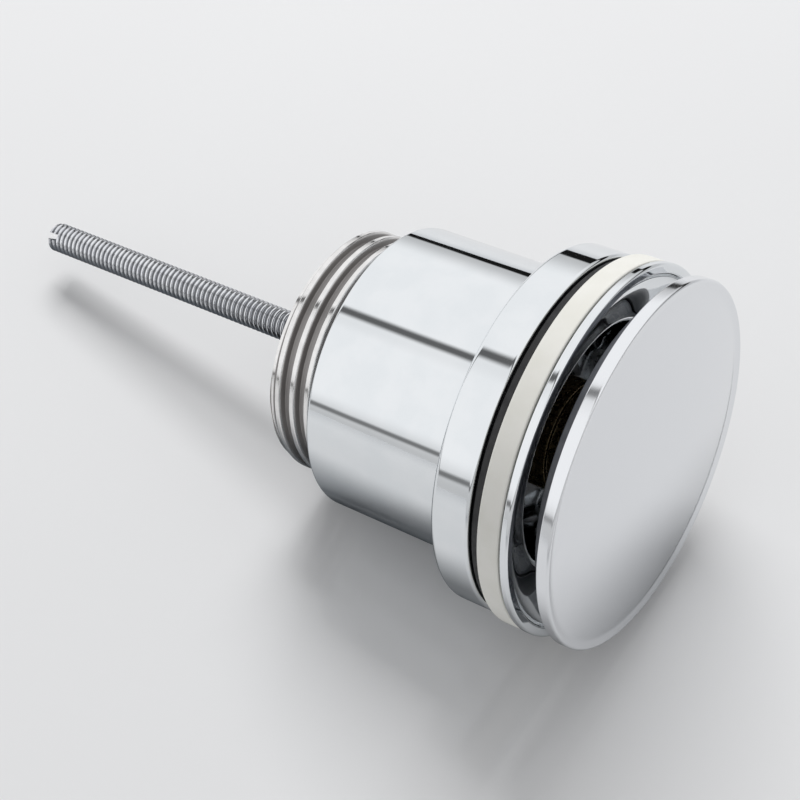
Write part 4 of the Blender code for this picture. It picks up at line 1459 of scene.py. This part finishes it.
def stand(item: bpy.types.Object, axes: np.ndarray, place: Sequence[float]) -> None:
    """Put an object at a place, its own axes along the given ones."""
    columns = np.concatenate([axes, [place]]).T
    item.matrix_world = Matrix([*columns.tolist(), [0.0, 0.0, 0.0, 1.0]])


@dataclass
class Studio:
    """Pale floor with a painted falloff of light and painted shade in its reflections, soft light, a pale
    surround and the camera. Lengths here are in metres.
    """

    floor_normal: Place = (0.7257, -0.6576, 0.2029)
    floor_depth: float = 0.03124
    floor_half: float = 0.36
    painted_falloff_range: Span = (0.16, 0.36)
    floor_colour: Colour = (0.83, 0.832, 0.838)
    # painted light falloff: colour of the floor far from the object
    floor_painted_falloff_colour: Colour = (0.60, 0.61, 0.63)
    # painted shade: colour of the floor under the object, as mirrors see it
    floor_painted_shade_colour: Colour = (0.10, 0.115, 0.13)
    floor_sheen: Span = (0.13, 0.15)
    floor_smear: float = 0.05
    axis_span: Span = (-0.114, -0.022)
    painted_shade_range: Span = (0.024, 0.068)
    middle: Place = (0.0, 0.0, -0.040)
    key_direction: Place = (0.272, -0.946, -0.176)
    key_distance: float = 1.0
    key_size: float = 0.5
    key_power: float = 6.0
    fill_level: float = 0.50
    seen_level: float = 0.78
    room_level: float = 0.62
    room_colour: tuple[float, float, float, float] = (0.985, 0.99, 1.0, 1.0)
    camera_place: Place = (0.2580, -0.0380, 0.1075)
    camera_right: Place = (-0.4953, -0.2947, 0.8173)
    camera_down: Place = (-0.0223, 0.9449, 0.3270)
    camera_forward: Place = (-0.8685, 0.1438, -0.4745)
    focal_length: float = 80.25
    sensor_width: float = 36.0
    clip: Span = (0.01, 10.0)
    bands: tuple[Band, ...] = (
        Band(-72.0, 44.0, 22.0, 1.05),
        Band(4.0, 34.0, 20.0, 1.05),
        Band(-36.0, 3.0, 4.0, 0.14),
        Band(-132.0, 4.4, 2.0, 0.01),
        Band(40.6, 1.8, 2.6, 0.22),
    )

    def build(self) -> None:
        """Build the floor, lights, surround and camera."""
        self.floor()
        self.key_light()
        self.surround()
        self.camera()

    def floor(self) -> None:
        """Lay the floor under the object, where its ring and shoulder touch it."""
        side, ahead, normal = axes_along(self.floor_normal)
        middle = np.array(self.middle)
        middle = middle - normal * (middle @ normal + self.floor_depth)
        signs = np.array([(-1, -1), (1, -1), (1, 1), (-1, 1)])
        corners = middle + self.floor_half * (signs @ np.stack([side, ahead]))
        mesh = bpy.data.meshes.new("pale_floor")
        mesh.from_pydata(corners.tolist(), [], [(0, 1, 2, 3)])
        if np.dot(mesh.polygons[0].normal, normal) < 0.0:
            mesh.flip_normals()
        mesh.materials.append(self.floor_material(middle))
        put_in_scene("pale_floor", mesh)

    def floor_material(self, middle: np.ndarray) -> bpy.types.Material:
        """Lay out the floor's material: a painted pool of light, paler in the middle and darker further out,
        painted shade close to the object for mirrored rays, and clear when seen from behind.

        Args:
            middle: point of the floor below the object.

        Returns:
            The material.
        """
        bench = MaterialBench("pale_floor")
        # painted light falloff: the floor darkens with distance from its middle
        share = bench.ramp(bench.distance(middle.tolist()), *self.painted_falloff_range, 0.0, 1.0)
        plain = bench.mix(share, self.floor_colour, self.floor_painted_falloff_colour)
        mirrored = bench.add("ShaderNodeLightPath").outputs["Is Glossy Ray"]
        # painted shade: under the object the floor's colour goes dark, for mirrored rays only
        mirrored_painted_shade = bench.math("MULTIPLY", self.painted_shade_nearness(bench), mirrored)
        bench.feed(bench.inputs["Base Color"], bench.mix(mirrored_painted_shade, plain, self.floor_painted_shade_colour))
        patch = bench.ramp(bench.noise(self.floor_smear / MM), *FLOOR_PATCH_EDGE, *self.floor_sheen)
        bench.feed(bench.inputs["Roughness"], patch)
        behind = bench.add("ShaderNodeNewGeometry").outputs["Backfacing"]
        clear = bench.add("ShaderNodeBsdfTransparent").outputs[0]
        choice = bench.add("ShaderNodeMixShader")
        surface = bench.tree.nodes["Material Output"].inputs[0]
        for socket, value in zip(choice.inputs, (behind, surface.links[0].from_socket, clear)):
            bench.feed(socket, value)
        bench.feed(surface, choice.outputs[0])
        return bench.material

    def painted_shade_nearness(self, bench: MaterialBench) -> bpy.types.NodeSocket:
        """How close a point of the floor is to the object, 1 underneath and 0 well away: the mask of the
        floor's painted shade.

        The distance is to the nearest point of the object's axis, with its height held between
        the screw's tip and the barrel.

        Args:
            bench: the node bench of the floor.

        Returns:
            The mask, 1 where the painted shade is full.
        """
        low, high = self.axis_span
        held = bench.math("MINIMUM", bench.math("MAXIMUM", bench.split(bench.place)[2], low), high)
        foot = bench.add("ShaderNodeCombineXYZ")
        bench.feed(foot.inputs[2], held)
        return bench.ramp(bench.distance(foot.outputs[0]), *self.painted_shade_range, 1.0, 0.0)

    def key_light(self) -> None:
        """Hang the large soft lamp; bright metal mirrors the surround's bands in its place."""
        lamp = bpy.data.lights.new("soft_key", "AREA")
        lamp.size = self.key_size
        lamp.energy = self.key_power
        item = put_in_scene("soft_key", lamp)
        axes = axes_along(self.key_direction)
        stand(item, axes, axes[2] * self.key_distance + self.middle)
        item.visible_glossy = False

    def surround(self) -> None:
        """Make the surround: even for the light, and in bands for what metal mirrors."""
        world = bpy.data.worlds.new("pale_surround")
        bpy.context.scene.world = world
        world.use_nodes = True
        bench = NodeBench(world.node_tree)
        shader = world.node_tree.nodes["Background"]
        x, y, _ = bench.split(bench.add("ShaderNodeTexCoord").outputs["Generated"])
        azimuth = bench.math("ARCTAN2", y, x)
        level: object = self.room_level
        for band in self.bands:
            away = bench.math("SUBTRACT", azimuth, math.radians(band.azimuth))
            off = bench.math("ABSOLUTE", bench.math("WRAP", away, math.pi, -math.pi))
            inner = math.radians(max(band.half_width - band.softness / 2, 0.0))
            outer = math.radians(band.half_width + band.softness / 2)
            level = bench.blend(bench.ramp(off, outer, inner, 0.0, 1.0), level, band.level)
        rays = bench.add("ShaderNodeLightPath")
        plain = bench.blend(rays.outputs["Is Camera Ray"], self.fill_level, self.seen_level)
        shader.inputs["Color"].default_value = self.room_colour
        bench.feed(shader.inputs["Strength"], bench.blend(rays.outputs["Is Glossy Ray"], plain, level))

    def camera(self) -> None:
        """Set the camera as the photograph was taken."""
        lens = bpy.data.cameras.new("photo_camera")
        lens.lens = self.focal_length
        lens.sensor_width = self.sensor_width
        lens.clip_start, lens.clip_end = self.clip
        item = put_in_scene("photo_camera", lens)
        right, down, forward = np.array([self.camera_right, self.camera_down, self.camera_forward])
        stand(item, np.stack([right, -down, -forward]), self.camera_place)
        bpy.context.scene.camera = item


def main() -> None:
    """Build every sub-assembly and the studio round them."""
    logging.basicConfig(level=logging.INFO, format="%(message)s")
    bpy.context.scene.view_settings.view_transform = "Standard"
    flange = Flange()
    flange.build()
    LowerBody().build()
    ClampingScrew().build()
    Plug().build(flange)
    Cartridge().build()
    Studio().build()


if __name__ == "__main__":
    main()
